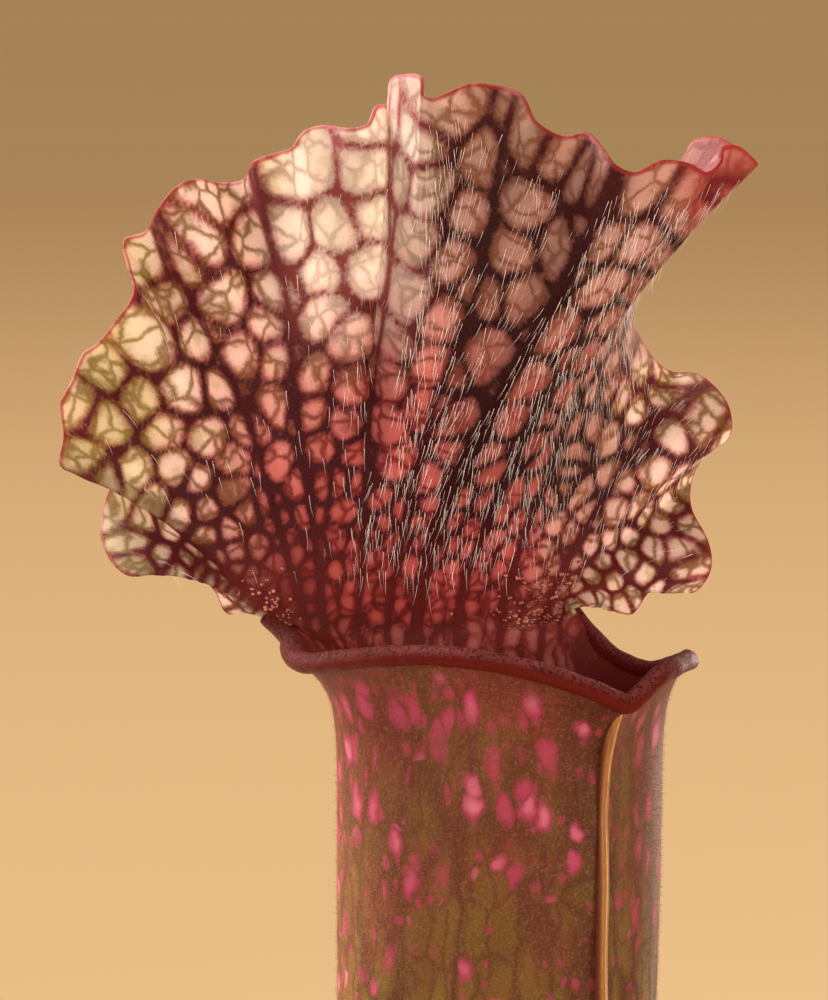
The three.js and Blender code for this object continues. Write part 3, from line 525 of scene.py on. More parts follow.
class WindowNet:
    def __init__(self, settings):
        self.settings = settings
        random = np.random.default_rng(settings["seed"])
        # ribs are even along the neck and further out; one is the midrib
        blend = chart.across[0] / np.ptp(chart.across[0]) + chart.across[30] / np.ptp(chart.across[30])
        midrib = float(leafShape["apex"])
        middle = np.interp(midrib, chart.places, blend)
        right = np.linspace(blend[0], middle, settings["lanesRight"] + 1)
        left = np.linspace(middle, blend[-1], settings["lanesLeft"] + 1)
        right[1:-1] += random.uniform(-0.2, 0.2, len(right) - 2) * (right[1] - right[0])
        left[1:-1] += random.uniform(-0.2, 0.2, len(left) - 2) * (left[1] - left[0])
        self.bounds = np.interp(np.concatenate([right, left[1:]]), blend, chart.places)
        self.midrib = len(right) - 1
        self.wiggle = random.uniform(0, 2 * np.pi, len(self.bounds))
        seeds = []
        far = settings["firstRow"]
        while far < chart.along[-1].max():
            width = self.scaled("cellWidth", far)
            stepSize = self.scaled("rowStep", far)
            for low, high in zip(self.bounds[:-1], self.bounds[1:]):
                places = np.linspace(low, high, 60)
                points = self.rowPoints(places, far)
                inside = self.stepAt(places, far) <= 1.0
                arc = np.concatenate([[0.0], np.cumsum(np.linalg.norm(np.diff(points, axis=0), axis=1))])
                if inside.sum() < 8:
                    continue
                arc, places = arc[inside], places[inside]
                span = arc[-1] - arc[0]
                count = max(1, round(span / width))
                stagger = random.uniform(-0.5, 0.5)
                for cell in range(count):
                    share = (cell + 0.5) / count + random.uniform(-1, 1) * settings["jitter"] / count
                    lift = stagger + 0.5 * (cell % 2) + random.uniform(-1, 1) * settings["jitter"]
                    out = far + stepSize * lift
                    place = np.interp(arc[0] + share * span, arc, places)
                    if self.stepAt(np.array([place]), out)[0] < 1.02:
                        spot = self.rowPoints(np.array([place]), out)[0]
                        seeds.append((place, random.uniform(0, 1), *spot))
            far += stepSize
        self.seeds = np.array(seeds)
        for _ in range(settings["evened"]):
            self.evenOut()
        print("windows:", len(self.seeds))

    # moves each seed to the middle of its own cell
    def evenOut(self):
        places = np.linspace(0.0, edgeEnd, 300)
        samples = []
        for far in np.arange(self.settings["firstRow"], chart.along[-1].max(), 0.8):
            inside = self.stepAt(places, far) <= 1.0
            rows = self.rowPoints(places, far)
            samples.append(np.column_stack([places, rows])[inside])
        samples = np.vstack(samples)
        owner = np.concatenate([self.nearest(part)[:, 0] for part in np.array_split(samples, 20)])
        count = np.bincount(owner, minlength=len(self.seeds))
        for column, source in ((0, 0), (2, 1), (3, 2), (4, 3)):
            total = np.bincount(owner, weights=samples[:, source], minlength=len(self.seeds))
            self.seeds[:, column] = np.where(count > 0, total / np.maximum(count, 1), self.seeds[:, column])

    # the seeds nearest to points given as place, x, y, z
    def nearest(self, samples, number=1):
        away = ((samples[:, None, 1:] - self.seeds[None, :, 2:]) ** 2).sum(2)
        far = np.abs(samples[:, None, 0] - self.seeds[None, :, 0]) > 8.0
        away[far] = 1e6
        order = np.argpartition(away, number, axis=1)[:, :number]
        index = np.arange(len(order))[:, None]
        return order[index, np.argsort(away[index, order], axis=1)]

    def scaled(self, key, along):
        low, high = self.settings[key]
        return low + smoothStep(along, *self.settings["growth"]) * (high - low)

    def stepAt(self, places, far):
        columns = np.round(places / edgeEnd * (len(chart.places) - 1)).astype(int)
        return np.array([np.interp(far, chart.along[:, c], chart.steps, right=2.0) for c in columns])

    # below the neck a row runs round the tube's back wall
    def rowPoints(self, places, far):
        points = hoodPoints(places, np.minimum(self.stepAt(places, far), 1.0))
        points[:, 2] += np.minimum(far, 0.0)
        return points

    # how far into its window a point is, as a share of half its width, and the window's own tone
    def measure(self, points, place, t, along):
        net = np.zeros(len(place))
        tone = np.zeros(len(place))
        centres = self.seeds[:, 2:]
        soft = self.settings["roundness"] / (0.5 * self.scaled("cellWidth", along))
        for start in range(0, len(place), 4000):
            part = slice(start, start + 4000)
            order = self.nearest(np.column_stack([place[part], points[part]]), 6)
            close = ((points[part][:, None] - centres[order]) ** 2).sum(2)
            crowd = np.zeros(len(order))
            for other in range(1, 6):
                gap = np.linalg.norm(centres[order[:, 0]] - centres[order[:, other]], axis=1) + 1e-6
                reach = (close[:, other] - close[:, 0]) / (2.0 * gap)
                crowd += np.exp(-np.minimum(soft[part] * reach, 40.0))
            net[part] = crowd
            tone[part] = self.seeds[order[:, 0], 1]
        thin = 1.2 - 0.7 * smoothStep(along, *self.settings["growth"])
        for bound in range(1, len(self.bounds) - 1):
            line = np.full(len(place), self.bounds[bound])
            if bound != self.midrib:
                line += 0.3 * np.sin(0.21 * along + self.wiggle[bound])
            gap = np.abs(chart.read(chart.across, place, t) - chart.read(chart.across, line, t))
            width = self.settings["midribWidth" if bound == self.midrib else "ribWidth"]
            net += np.exp(-np.minimum(soft * (gap - width * thin), 40.0))
        return -np.log(net + 1e-9) / self.settings["roundness"], tone


windowNet = WindowNet(windowPattern)


# Triangles between two rows of points, which may differ in number
def stitch(lowIds, lowPlaces, highIds, highPlaces):
    if len(lowIds) == len(highIds):
        first = np.stack([lowIds[:-1], lowIds[1:], highIds[:-1]], 1)
        second = np.stack([lowIds[1:], highIds[1:], highIds[:-1]], 1)
        return np.vstack([first, second])
    faces = []
    low = high = 0
    while low < len(lowIds) - 1 or high < len(highIds) - 1:
        nextLow = lowPlaces[low + 1] if low < len(lowIds) - 1 else math.inf
        nextHigh = highPlaces[high + 1] if high < len(highIds) - 1 else math.inf
        if nextLow <= nextHigh:
            faces.append((lowIds[low], lowIds[low + 1], highIds[high]))
            low += 1
        else:
            faces.append((lowIds[low], highIds[high + 1], highIds[high]))
            high += 1
    return np.array(faces)


def closed(ids, places):
    return np.append(ids, ids[0]), np.append(places, places[0] + 2 * np.pi)


# The middle line of a leaf, which leaves its foot and meets its mouth upright
class Spine:
    def __init__(self, foot, mouth, start=0.3, end=0.35):
        self.foot = np.array(foot, dtype=float)
        self.mouth = np.array(mouth, dtype=float)
        height = self.mouth[2] - self.foot[2]
        self.second = self.foot + [0, 0, start * height]
        self.third = self.mouth - [0, 0, end * height]

    def at(self, t):
        t = np.asarray(t, dtype=float)[..., None]
        point = (1 - t) ** 3 * self.foot + 3 * t * (1 - t) ** 2 * self.second
        return point + 3 * t**2 * (1 - t) * self.third + t**3 * self.mouth


# One open pitcher's frame: where its mouth is, how it is turned and how large it is
class Pitcher:
    def __init__(self, spec):
        self.size = spec["size"]
        self.turn = spec["facing"] - leafShape["front"]
        self.spine = Spine(spec["foot"], spec["mouth"])
        self.mouth = np.array(spec["mouth"], dtype=float)
        self.height = spec["mouth"][2] - spec["foot"][2]
        samples = np.linspace(0.5, 1.0, 2001)
        heights = self.spine.at(samples)[:, 2]
        flareHeight = self.mouth[2] - leafShape["flareLength"] * self.size
        self.flareStart = float(np.interp(flareHeight, heights, samples))
        self.front = np.array([math.cos(spec["facing"]), math.sin(spec["facing"]), 0.0])
        self.side = np.array([-math.sin(spec["facing"]), math.cos(spec["facing"]), 0.0])

    def turned(self, vectors):
        c, s = math.cos(self.turn), math.sin(self.turn)
        x = vectors[..., 0] * c - vectors[..., 1] * s
        y = vectors[..., 0] * s + vectors[..., 1] * c
        return np.stack([x, y, vectors[..., 2]], -1)

    def toWorld(self, points):
        return self.turned(np.asarray(points) * self.size) + self.mouth

    def fromWorld(self, points):
        flat = (points - self.mouth) / self.size
        return flat @ self.turned(np.eye(3)).T

    def tube(self, angle, rise, out=0.0):
        radius = (tubeRadius(rise) + keel(angle, rise)) * self.size + out
        middle = self.spine.at(rise)
        x = middle[..., 0] + radius * np.cos(angle + self.turn)
        y = middle[..., 1] + radius * np.sin(angle + self.turn)
        return np.stack([x, y, middle[..., 2] + 0.0 * radius], -1)

    def flare(self, loop, w):
        angle = np.arctan2(loop[:, 1], loop[:, 0])
        share = w ** leafShape["flarePower"]
        rise = self.flareStart + (1 - self.flareStart) * w
        radius = (tubeRadius(rise) + keel(angle, rise)) * (1 - share)
        x = radius * np.cos(angle) + share * loop[:, 0]
        y = radius * np.sin(angle) + share * loop[:, 1]
        z = -leafShape["flareLength"] * (1 - w) + loop[:, 2] * w
        drift = (self.spine.at(rise) - self.mouth) * (1 - w)
        return self.toWorld(np.stack([x, y, z], 1)) + [drift[0], drift[1], 0.0]


def vertexNormals(points, faces):
    normal = np.cross(points[faces[:, 1]] - points[faces[:, 0]], points[faces[:, 2]] - points[faces[:, 0]])
    total = np.zeros_like(points)
    for corner in range(3):
        np.add.at(total, faces[:, corner], normal)
    return total / (np.linalg.norm(total, axis=1)[:, None] + 1e-12)


shorterOnes = {"slot": "mixed_leaf", "detail": 0.5, "hairs": 0.45}
openPitchers = [
    {
        "node": "tall_pitcher", "mouth": (0, 0, 335), "foot": (-7, 5, 91), "facing": -0.96, "size": 1.0,
        "slot": "red_leaf", "detail": 1.0, "hairs": 1.0,
    },
    {
        "node": "left_pitcher", "mouth": (-44, -32, 226), "foot": (-11, -8, 91),
        "facing": 0.62, "size": 0.72, **shorterOnes,
    },
    {
        "node": "right_pitcher", "mouth": (50, -24, 198), "foot": (21, -9, 91),
        "facing": 2.55, "size": 0.66, **shorterOnes,
    },
    {
        "node": "rear_right_pitcher", "mouth": (42, 38, 244), "foot": (17, 5, 91),
        "facing": 3.95, "size": 0.75, **shorterOnes,
    },
    {
        "node": "rear_left_pitcher", "mouth": (-42, 42, 212), "foot": (-21, 0, 88),
        "facing": -0.7, "size": 0.68, **shorterOnes,
    },
]
meshDetail = {
    "tubeColumns": 112, "tubeRows": 110, "flareRows": 12, "rimSamples": 110,
    "lowHoodColumns": 180, "lowHoodRows": 26, "hoodColumns": 400, "hoodRows": 62, "lowHoodEnd": 0.32,
    "veinRelief": 0.10, "innerRelief": 0.07,
}


# Rows of a sheet, kept with what its finish needs to know about each point
class Sheet:
    def __init__(self):
        self.points, self.along, self.roll, self.place, self.step, self.half = [], [], [], [], [], []
        self.faces = []
        self.total = 0

    def addRow(self, points, along, roll, place, step, half):
        count = len(points)
        self.points.append(points)
        self.roll.append(roll)
        for store, value in zip((self.along, self.place, self.step, self.half), (along, place, step, half)):
            store.append(np.broadcast_to(np.asarray(value, dtype=float), count))
        self.total += count
        return np.arange(self.total - count, self.total)

    def freeze(self):
        self.points, self.roll = np.vstack(self.points), np.vstack(self.roll)
        self.along, self.place = np.concatenate(self.along), np.concatenate(self.place)
        self.step, self.half = np.concatenate(self.step), np.concatenate(self.half)


# The leaf is unrolled on a drum as thick as the tube, which opens flat above the neck
def drum(angles, along):
    radius = leafShape["footRadius"] + leafShape["swell"]
    along = np.broadcast_to(along, len(angles))
    return np.stack([radius * np.cos(angles), radius * np.sin(angles), along], 1)


def buildTube(sheet, pitcher, spec, columns, count):
    angles = leafShape["front"] + 2 * np.pi * np.arange(columns) / columns
    firstRise = leafShape["stalk"] / pitcher.height
    rows = []
    hollow = None
    for rise in np.concatenate([[0.0], np.linspace(firstRise, pitcher.flareStart, count)]):
        ring = pitcher.tube(angles, rise)
        depth = (ring[0, 2] - pitcher.mouth[2]) / pitcher.size
        if hollow is None and ring[0, 2] > spec["foot"][2] + leafShape["bareFoot"]:
            hollow = len(rows)
        rows.append(sheet.addRow(ring, depth, drum(angles, depth), -1.0, -1.0, 0.5 * leafShape["wall"]))
    bands = [stitch(*closed(low, angles), *closed(high, angles)) for low, high in zip(rows[:-1], rows[1:])]
    sheet.faces.append(np.vstack(bands[hollow:]))
    return rows, hollow, angles, np.vstack(bands[:hollow])


def buildFlare(sheet, pitcher, below, angles, neckPlaces, rimCount, count):
    rimPlaces = np.linspace(0.0, rimEnd, rimCount + 1)[1:-1]
    rimPlaces[np.argmin(np.abs(rimPlaces - leafShape["spout"]))] = leafShape["spout"]
    loop = np.vstack([neckCurve.at(neckPlaces), rimCurve.at(rimPlaces)])
    loopAngles = np.unwrap(np.arctan2(loop[:, 1], loop[:, 0]))
    onNeck = np.arange(len(loop)) < len(neckPlaces)
    lowAngles = (angles - loopAngles[0]) % (2 * np.pi) + loopAngles[0]
    order = np.argsort(lowAngles)
    lower, lowerAngles = below[order], lowAngles[order]
    full, thinner = 0.5 * leafShape["wall"], 0.5 * leafShape["blade"] + 0.1
    for w in np.linspace(0.0, 1.0, count + 1)[1:] ** 0.7:
        depth = -leafShape["flareLength"] * (1 - w)
        half = full * (1 - w) + w * np.where(onNeck, thinner, full)
        last = w > 0.999
        place = np.where(onNeck, np.append(neckPlaces, rimPlaces), -1.0) if last else -1.0
        step = np.where(onNeck, 0.0, -1.0) if last else -1.0
        ids = sheet.addRow(pitcher.flare(loop, w), depth, drum(loopAngles, depth), place, step, half)
        sheet.faces.append(stitch(*closed(lower, lowerAngles), *closed(ids, loopAngles)))
        lower, lowerAngles = ids, loopAngles
    return lower[onNeck]


def buildHood(sheet, pitcher, neckIds, neckPlaces, rows):
    below, belowPlaces = neckIds, neckPlaces
    apexNeck = neckCurve.at([float(leafShape["apex"])])[0]
    apexAngle = math.atan2(apexNeck[1], apexNeck[0])
    for t, count in rows:
        places = np.linspace(0.0, edgeEnd, count)
        steps = np.full(count, t)
        along = chart.read(chart.along, places, steps)
        neck = neckCurve.at(places)
        spread = chart.read(chart.across, places, steps) - chart.read(chart.across, places, 0.0 * steps)
        roll = drum(np.arctan2(neck[:, 1], neck[:, 0]), along)
        roll = roll + np.outer(spread, [-math.sin(apexAngle), math.cos(apexAngle), 0.0])
        points = pitcher.toWorld(hoodPoints(places, steps))
        ids = sheet.addRow(points, along, roll, places, t, 0.5 * leafShape["blade"])
        sheet.faces.append(stitch(below, belowPlaces, ids, places))
        below, belowPlaces = ids, places


# A rounded brim closes the two faces along every free edge
def buildBrim(points, normals, half, upper, hollowRow):
    count = len(points)
    edges = np.vstack([upper[:, [0, 1]], upper[:, [1, 2]], upper[:, [2, 0]]]).astype(np.int64)
    back = edges[:, 1] * count + edges[:, 0]
    free = edges[~np.isin(edges[:, 0] * count + edges[:, 1], back)]
    free = free[~np.isin(free, hollowRow).all(1)]
    inward = np.zeros_like(points)
    centre = points[upper].mean(1)
    for corner in range(3):
        np.add.at(inward, upper[:, corner], centre - points[upper[:, corner]])
    onEdge = np.unique(free)
    direction = inward[onEdge] - normals[onEdge] * (inward[onEdge] * normals[onEdge]).sum(1)[:, None]
    direction /= np.linalg.norm(direction, axis=1)[:, None] + 1e-12
    brimPoints = points[onEdge] - direction * half[onEdge][:, None] * 0.8
    a, b = free.T
    brimA = 2 * count + np.searchsorted(onEdge, a)
    brimB = 2 * count + np.searchsorted(onEdge, b)
    quads = [(b, a, brimA, brimB), (brimB, brimA, a + count, b + count)]
    faces = [np.stack(triangle, 1) for q in quads for triangle in ((q[0], q[1], q[2]), (q[0], q[2], q[3]))]
    return onEdge, brimPoints, np.vstack(faces)


def buildLeaf(name, spec, settings):
    pitcher = Pitcher(spec)
    size = pitcher.size

    def scaled(key):
        return max(8, round(settings[key] * spec["detail"]))

    sheet = Sheet()
    columns, tubeRows = scaled("tubeColumns"), scaled("tubeRows")
    rows, hollow, angles, lowFaces = buildTube(sheet, pitcher, spec, columns, tubeRows)
    lowCount, highCount = scaled("lowHoodColumns"), scaled("hoodColumns")
    neckPlaces = np.linspace(0.0, edgeEnd, lowCount)
    rimCount, flareRows = scaled("rimSamples"), scaled("flareRows")
    neckIds = buildFlare(sheet, pitcher, rows[-1], angles, neckPlaces, rimCount, flareRows)
    lowSteps = np.linspace(0.0, settings["lowHoodEnd"], scaled("lowHoodRows") + 1)[1:]
    highSteps = np.linspace(settings["lowHoodEnd"], 1.0, scaled("hoodRows") + 1)[1:]
    hoodRows = [(t, lowCount) for t in lowSteps] + [(t, highCount) for t in highSteps]
    buildHood(sheet, pitcher, neckIds, neckPlaces, hoodRows)
    sheet.freeze()
    upper = np.vstack(sheet.faces)
    along, place = sheet.along, sheet.place
    onHood = place >= 0

    # what the veins and windows are drawn from; the tube's back wall carries them on below the neck
    net, tone = np.zeros(sheet.total), np.full(sheet.total, 0.5)
    angle = np.arctan2(sheet.roll[:, 1], sheet.roll[:, 0])
    neck = neckCurve.at(chart.places)
    neckAngles = np.unwrap(np.arctan2(neck[:, 1], neck[:, 0]))
    angle = np.where(angle < neckAngles[0] - 1.0, angle + 2 * np.pi, angle)
    backWall = ~onHood & (along > -22.0) & (angle > neckAngles[0] - 0.1) & (angle < neckAngles[-1] + 0.1)
    patternPlace = np.where(onHood, place, np.interp(angle, neckAngles, chart.places))
    drawn = onHood | backWall
    steps = np.maximum(sheet.step, 0.0)
    unscaled = hoodPoints(patternPlace[drawn], steps[drawn])
    unscaled[:, 2] += np.minimum(along[drawn], 0.0)
    net[drawn], tone[drawn] = windowNet.measure(unscaled, patternPlace[drawn], steps[drawn], along[drawn])
    sides = smoothStep(np.minimum(angle - neckAngles[0], neckAngles[-1] - angle), -0.1, 0.12)
    net = np.where(backWall, net * sides, net)
    fromEdge = np.full(sheet.total, 50.0)
    fromEdge[onHood] = chart.read(chart.along, place[onHood], np.ones(onHood.sum())) - along[onHood]
    fromEdge[onHood] = np.minimum(fromEdge[onHood], 6.0 * np.minimum(place, edgeEnd - place)[onHood])

    # the blade thins towards its edge, and the veins stand a little proud of it
    thin = smoothStep(fromEdge, 0.0, 3.0)
    half = size * sheet.half * (thin + (1 - thin) * leafShape["thinEdge"] / leafShape["blade"])
    vein = size * (1 - smoothStep(net, 0.0, 0.26)) * smoothStep(along, 0.0, 8.0) * thin
    points = sheet.points
    normals = vertexNormals(points, np.vstack([lowFaces, upper]))
    outer = points + normals * (half + settings["veinRelief"] * vein)[:, None]
    inner = points - normals * (half + settings["innerRelief"] * vein)[:, None]

    # both faces, the brim, and a cap at the foot and at the bottom of the hollow
    onEdge, brimPoints, brim = buildBrim(points, normals, half, upper, rows[hollow])
    everyPoint = np.vstack([outer, inner, brimPoints, outer[rows[0]].mean(0), inner[rows[hollow]].mean(0)])
    count = sheet.total
    source = np.concatenate([np.arange(count), np.arange(count), onEdge, rows[0][:1], rows[hollow][:1]])
    foot, well = rows[0], rows[hollow] + count
    footMiddle, wellMiddle = len(everyPoint) - 2, len(everyPoint) - 1
    footCap = np.stack([np.full(len(foot), footMiddle), np.roll(foot, -1), foot], 1)
    wellCap = np.stack([np.full(len(well), wellMiddle), well, np.roll(well, -1)], 1)
    faces = np.vstack([lowFaces, upper, upper[:, ::-1] + count, brim, footCap, wellCap])
    isInner = np.zeros(len(everyPoint))
    isInner[count : 2 * count] = 1.0
    attributes = {
        "along": along[source], "net": net[source], "tone": tone[source],
        "fromEdge": fromEdge[source], "isInner": isInner, "roll": sheet.roll[source],
        "at": pitcher.fromWorld(points)[source],
    }
    leaf = meshPiece(name, everyPoint, faces, leafMaterials[spec["slot"]], attributes)
    standFor(leaf, spec["slot"], spec["node"])
    print(name, "triangles:", len(faces))
    return pitcher, sheet, outer, inner, upper, onHood, normals


leafLooks = {
    "red_leaf": {
        "cream": (238, 212, 204), "rose": (204, 126, 122), "throat": (168, 76, 68), "vein": (64, 7, 18),
        "paleVein": (98, 26, 36), "fineVein": (136, 96, 38), "margin": (170, 42, 50),
        "tubeTop": (112, 48, 32), "tubeShade": (98, 56, 22), "tubeLow": (122, 104, 28),
        "tubeVein": (72, 18, 16),
        "spot": (168, 50, 84), "spotCore": (208, 112, 136), "spots": 0.86, "green": (-5.0, -40.0),
    },
    "mixed_leaf": {
        "cream": (250, 246, 214), "rose": (232, 168, 144), "throat": (196, 100, 84), "vein": (88, 20, 24),
        "paleVein": (140, 54, 50), "fineVein": (158, 138, 60), "margin": (176, 58, 60),
        "tubeTop": (112, 66, 38), "tubeShade": (104, 86, 36), "tubeLow": (132, 140, 50),
        "tubeVein": (96, 30, 26),
        "spot": (206, 76, 92), "spotCore": (230, 136, 138), "spots": 0.6, "green": (0.0, -50.0),
    },
}


# What both looks share
tints = {
    "greenWindow": (206, 200, 96), "heart": (254, 238, 226), "lowHeart": (208, 126, 120),
    "leafGreen": (176, 172, 78), "windowEdge": (178, 82, 80), "paintedShadeEdge": (112, 72, 40),
    # the hood's shaded window, edge and vein colours are painted shade, and its bright window and vein
    # colours painted glow
    "throatLine": (128, 34, 32), "paintedShade": (160, 100, 90), "stained": (120, 42, 34),
    "paintedGlow": (255, 248, 240), "olive": (188, 186, 100), "throatVein": (112, 28, 18),
    "paintedGlowVein": (172, 84, 78), "paintedShadeVein": (34, 3, 5), "velvet": (140, 64, 70),
    # the colour beside the wing is a painted shadow
    "flushedTip": (188, 58, 66), "throatStain": (110, 16, 10), "paintedWingShadow": (72, 22, 12),
    "paleGrain": (176, 128, 104), "darkGrain": (62, 26, 14), "lining": (104, 26, 24),
    "lowLining": (150, 140, 80), "liningCloud": (64, 16, 18), "bloom": (196, 130, 96),
    "pores": (46, 12, 10), "sheen": (255, 214, 200),
}


# The hood: dark ribs and cross veins between windows, which are cream at the edge and rose below
def hoodColour(tree, look, place):
    along, net, tone, fromEdge = (tree.value(key) for key in ("along", "net", "tone", "fromEdge"))
    waver = tree.math("SUBTRACT", tree.noise(place, 0.75, 3.0), 0.5)
    away = tree.timesPlus(waver, 0.24, net)
    spot = tree.parts(place)
    right, up = spot["X"], spot["Z"]
    # painted shade right of the top, where the front of the hood lies in shade, and a painted glow left of
    # it, where light shines through the blade
    paintedShade = tree.math("MAXIMUM", tree.step(right, 14.0, 10.0), tree.step(up, 30.0, 34.0))
    paintedShade = tree.times(tree.times(tree.step(right, -9.0, -2.0), paintedShade),
                      tree.step(along, 8.0, 22.0))
    paintedGlow = tree.step(tree.math("ABSOLUTE", tree.math("ADD", right, 15.0)), 10.0, 4.0)
    paintedGlow = tree.times(paintedGlow, tree.step(up, 30.0, 42.0))
    thick = tree.timesPlus(tree.step(along, 34.0, 10.0), 0.08, 0.065)
    slack = tree.step(tree.noise(place, 0.17, 1.0), 0.56, 0.42)
    thick = tree.times(thick, tree.timesPlus(slack, -0.8, 1.3))
    # the veins are drawn wider in the painted shade
    thick = tree.timesPlus(paintedShade, 0.045, thick)
    fine = tree.math("SUBTRACT", tree.noise(place, 2.0, 3.0, 0.65), 0.5)
    inside = tree.timesPlus(fine, 0.26, tree.math("SUBTRACT", away, thick))
    vein = tree.step(inside, 0.13, -0.09)

    pale = tree.step(tree.timesPlus(waver, 8.0, fromEdge), 38.0, 8.0)
    lower = tree.mix(tree.step(along, -2.0, 22.0), look["throat"], look["rose"])
    window = tree.mix(pale, lower, look["cream"])
    window = tree.mix(tree.times(tree.step(tone, 0.45, 1.0), 0.3), window, look["rose"])
    greenish = tree.times(tree.step(tree.noise(place, 0.09, 1.0), 0.5, 0.68), 0.34)
    window = tree.mix(tree.times(greenish, pale), window, tints["greenWindow"])

    # each window is pink towards the dark veins, and olive lines part it into soft lobes
    heart = tree.mix(pale, tints["lowHeart"], tints["heart"])
    window = tree.mix(tree.times(tree.step(inside, 0.16, 0.36), 0.6), window, heart)
    leafGreen = tree.times(tree.step(tree.noise(place, 0.42, 2.0), 0.56, 0.7), pale)
    window = tree.mix(tree.times(leafGreen, 0.5), window, tints["leafGreen"])
    # in the painted shade the windows' pink edges turn brown
    penumbra = tree.mix(tree.times(paintedShade, 0.65), tints["windowEdge"], tints["paintedShadeEdge"])
    window = tree.mix(tree.times(tree.step(inside, 0.26, 0.03), 0.8), window, penumbra)
    lobes = tree.borders(tree.bent(place, 0.4, 1.8), 0.36)
    lobes = tree.timesPlus(fine, 0.14, lobes)
    lobeLine = tree.mix(pale, tints["throatLine"], look["fineVein"])
    window = tree.mix(tree.times(tree.step(lobes, 0.17, 0.0), 0.85), window, lobeLine)

    # painted shade: the windows right of the top are darkened
    window = tree.mix(tree.times(paintedShade, 0.6), window, tints["paintedShade"])
    # low on the left it is stained
    stained = tree.times(tree.step(right, -15.0, -22.0), tree.step(up, 17.0, 8.0))
    stained = tree.times(stained, tree.step(fromEdge, 6.0, 12.0))
    window = tree.mix(tree.times(stained, 0.75), window, tints["stained"])
    # painted glow: the windows left of the top are lightened
    window = tree.mix(tree.times(paintedGlow, 0.5), window, tints["paintedGlow"])
    olive = tree.times(tree.step(right, -30.0, -38.0), 0.26)
    window = tree.mix(olive, window, tints["olive"])

    velvet = tree.step(tree.noise(place, 5.5, 1.0, 0.7), 0.33, 0.72)
    veinColour = tree.mix(tree.step(fromEdge, 14.0, 1.0), look["vein"], look["paleVein"])
    veinColour = tree.mix(tree.times(tree.step(along, 16.0, 2.0), 0.75), veinColour, tints["throatVein"])
    # the veins are lighter in the painted glow and darker in the painted shade
    veinColour = tree.mix(tree.times(paintedGlow, 0.55), veinColour, tints["paintedGlowVein"])
    veinColour = tree.mix(tree.times(paintedShade, 0.6), veinColour, tints["paintedShadeVein"])
    velvet = tree.times(velvet, tree.timesPlus(paintedShade, -0.1, 0.12))
    veinColour = tree.mix(velvet, veinColour, tints["velvet"])
    colour = tree.mix(vein, window, veinColour)
    margin = tree.step(tree.timesPlus(waver, 0.5, fromEdge), 0.45, 0.1)
    colour = tree.mix(tree.times(margin, 0.7), colour, look["margin"])
    # the rolled tips are flushed, and the folds of the throat stained dark red
    tip = tree.times(tree.step(right, 16.0, 20.0), tree.step(up, 45.0, 49.0))
    crown = tree.times(tree.step(tree.math("ABSOLUTE", tree.math("ADD", right, 9.0)), 4.0, 2.0),
                      tree.step(up, 55.0, 58.5))
    tips = tree.math("MAXIMUM", tree.times(tip, 0.4), tree.times(crown, 0.2))
    colour = tree.mix(tips, colour, tints["flushedTip"])
    stain = tree.times(tree.step(along, 8.0, -8.0), 0.35)
    return tree.mix(stain, colour, tints["throatStain"]), vein


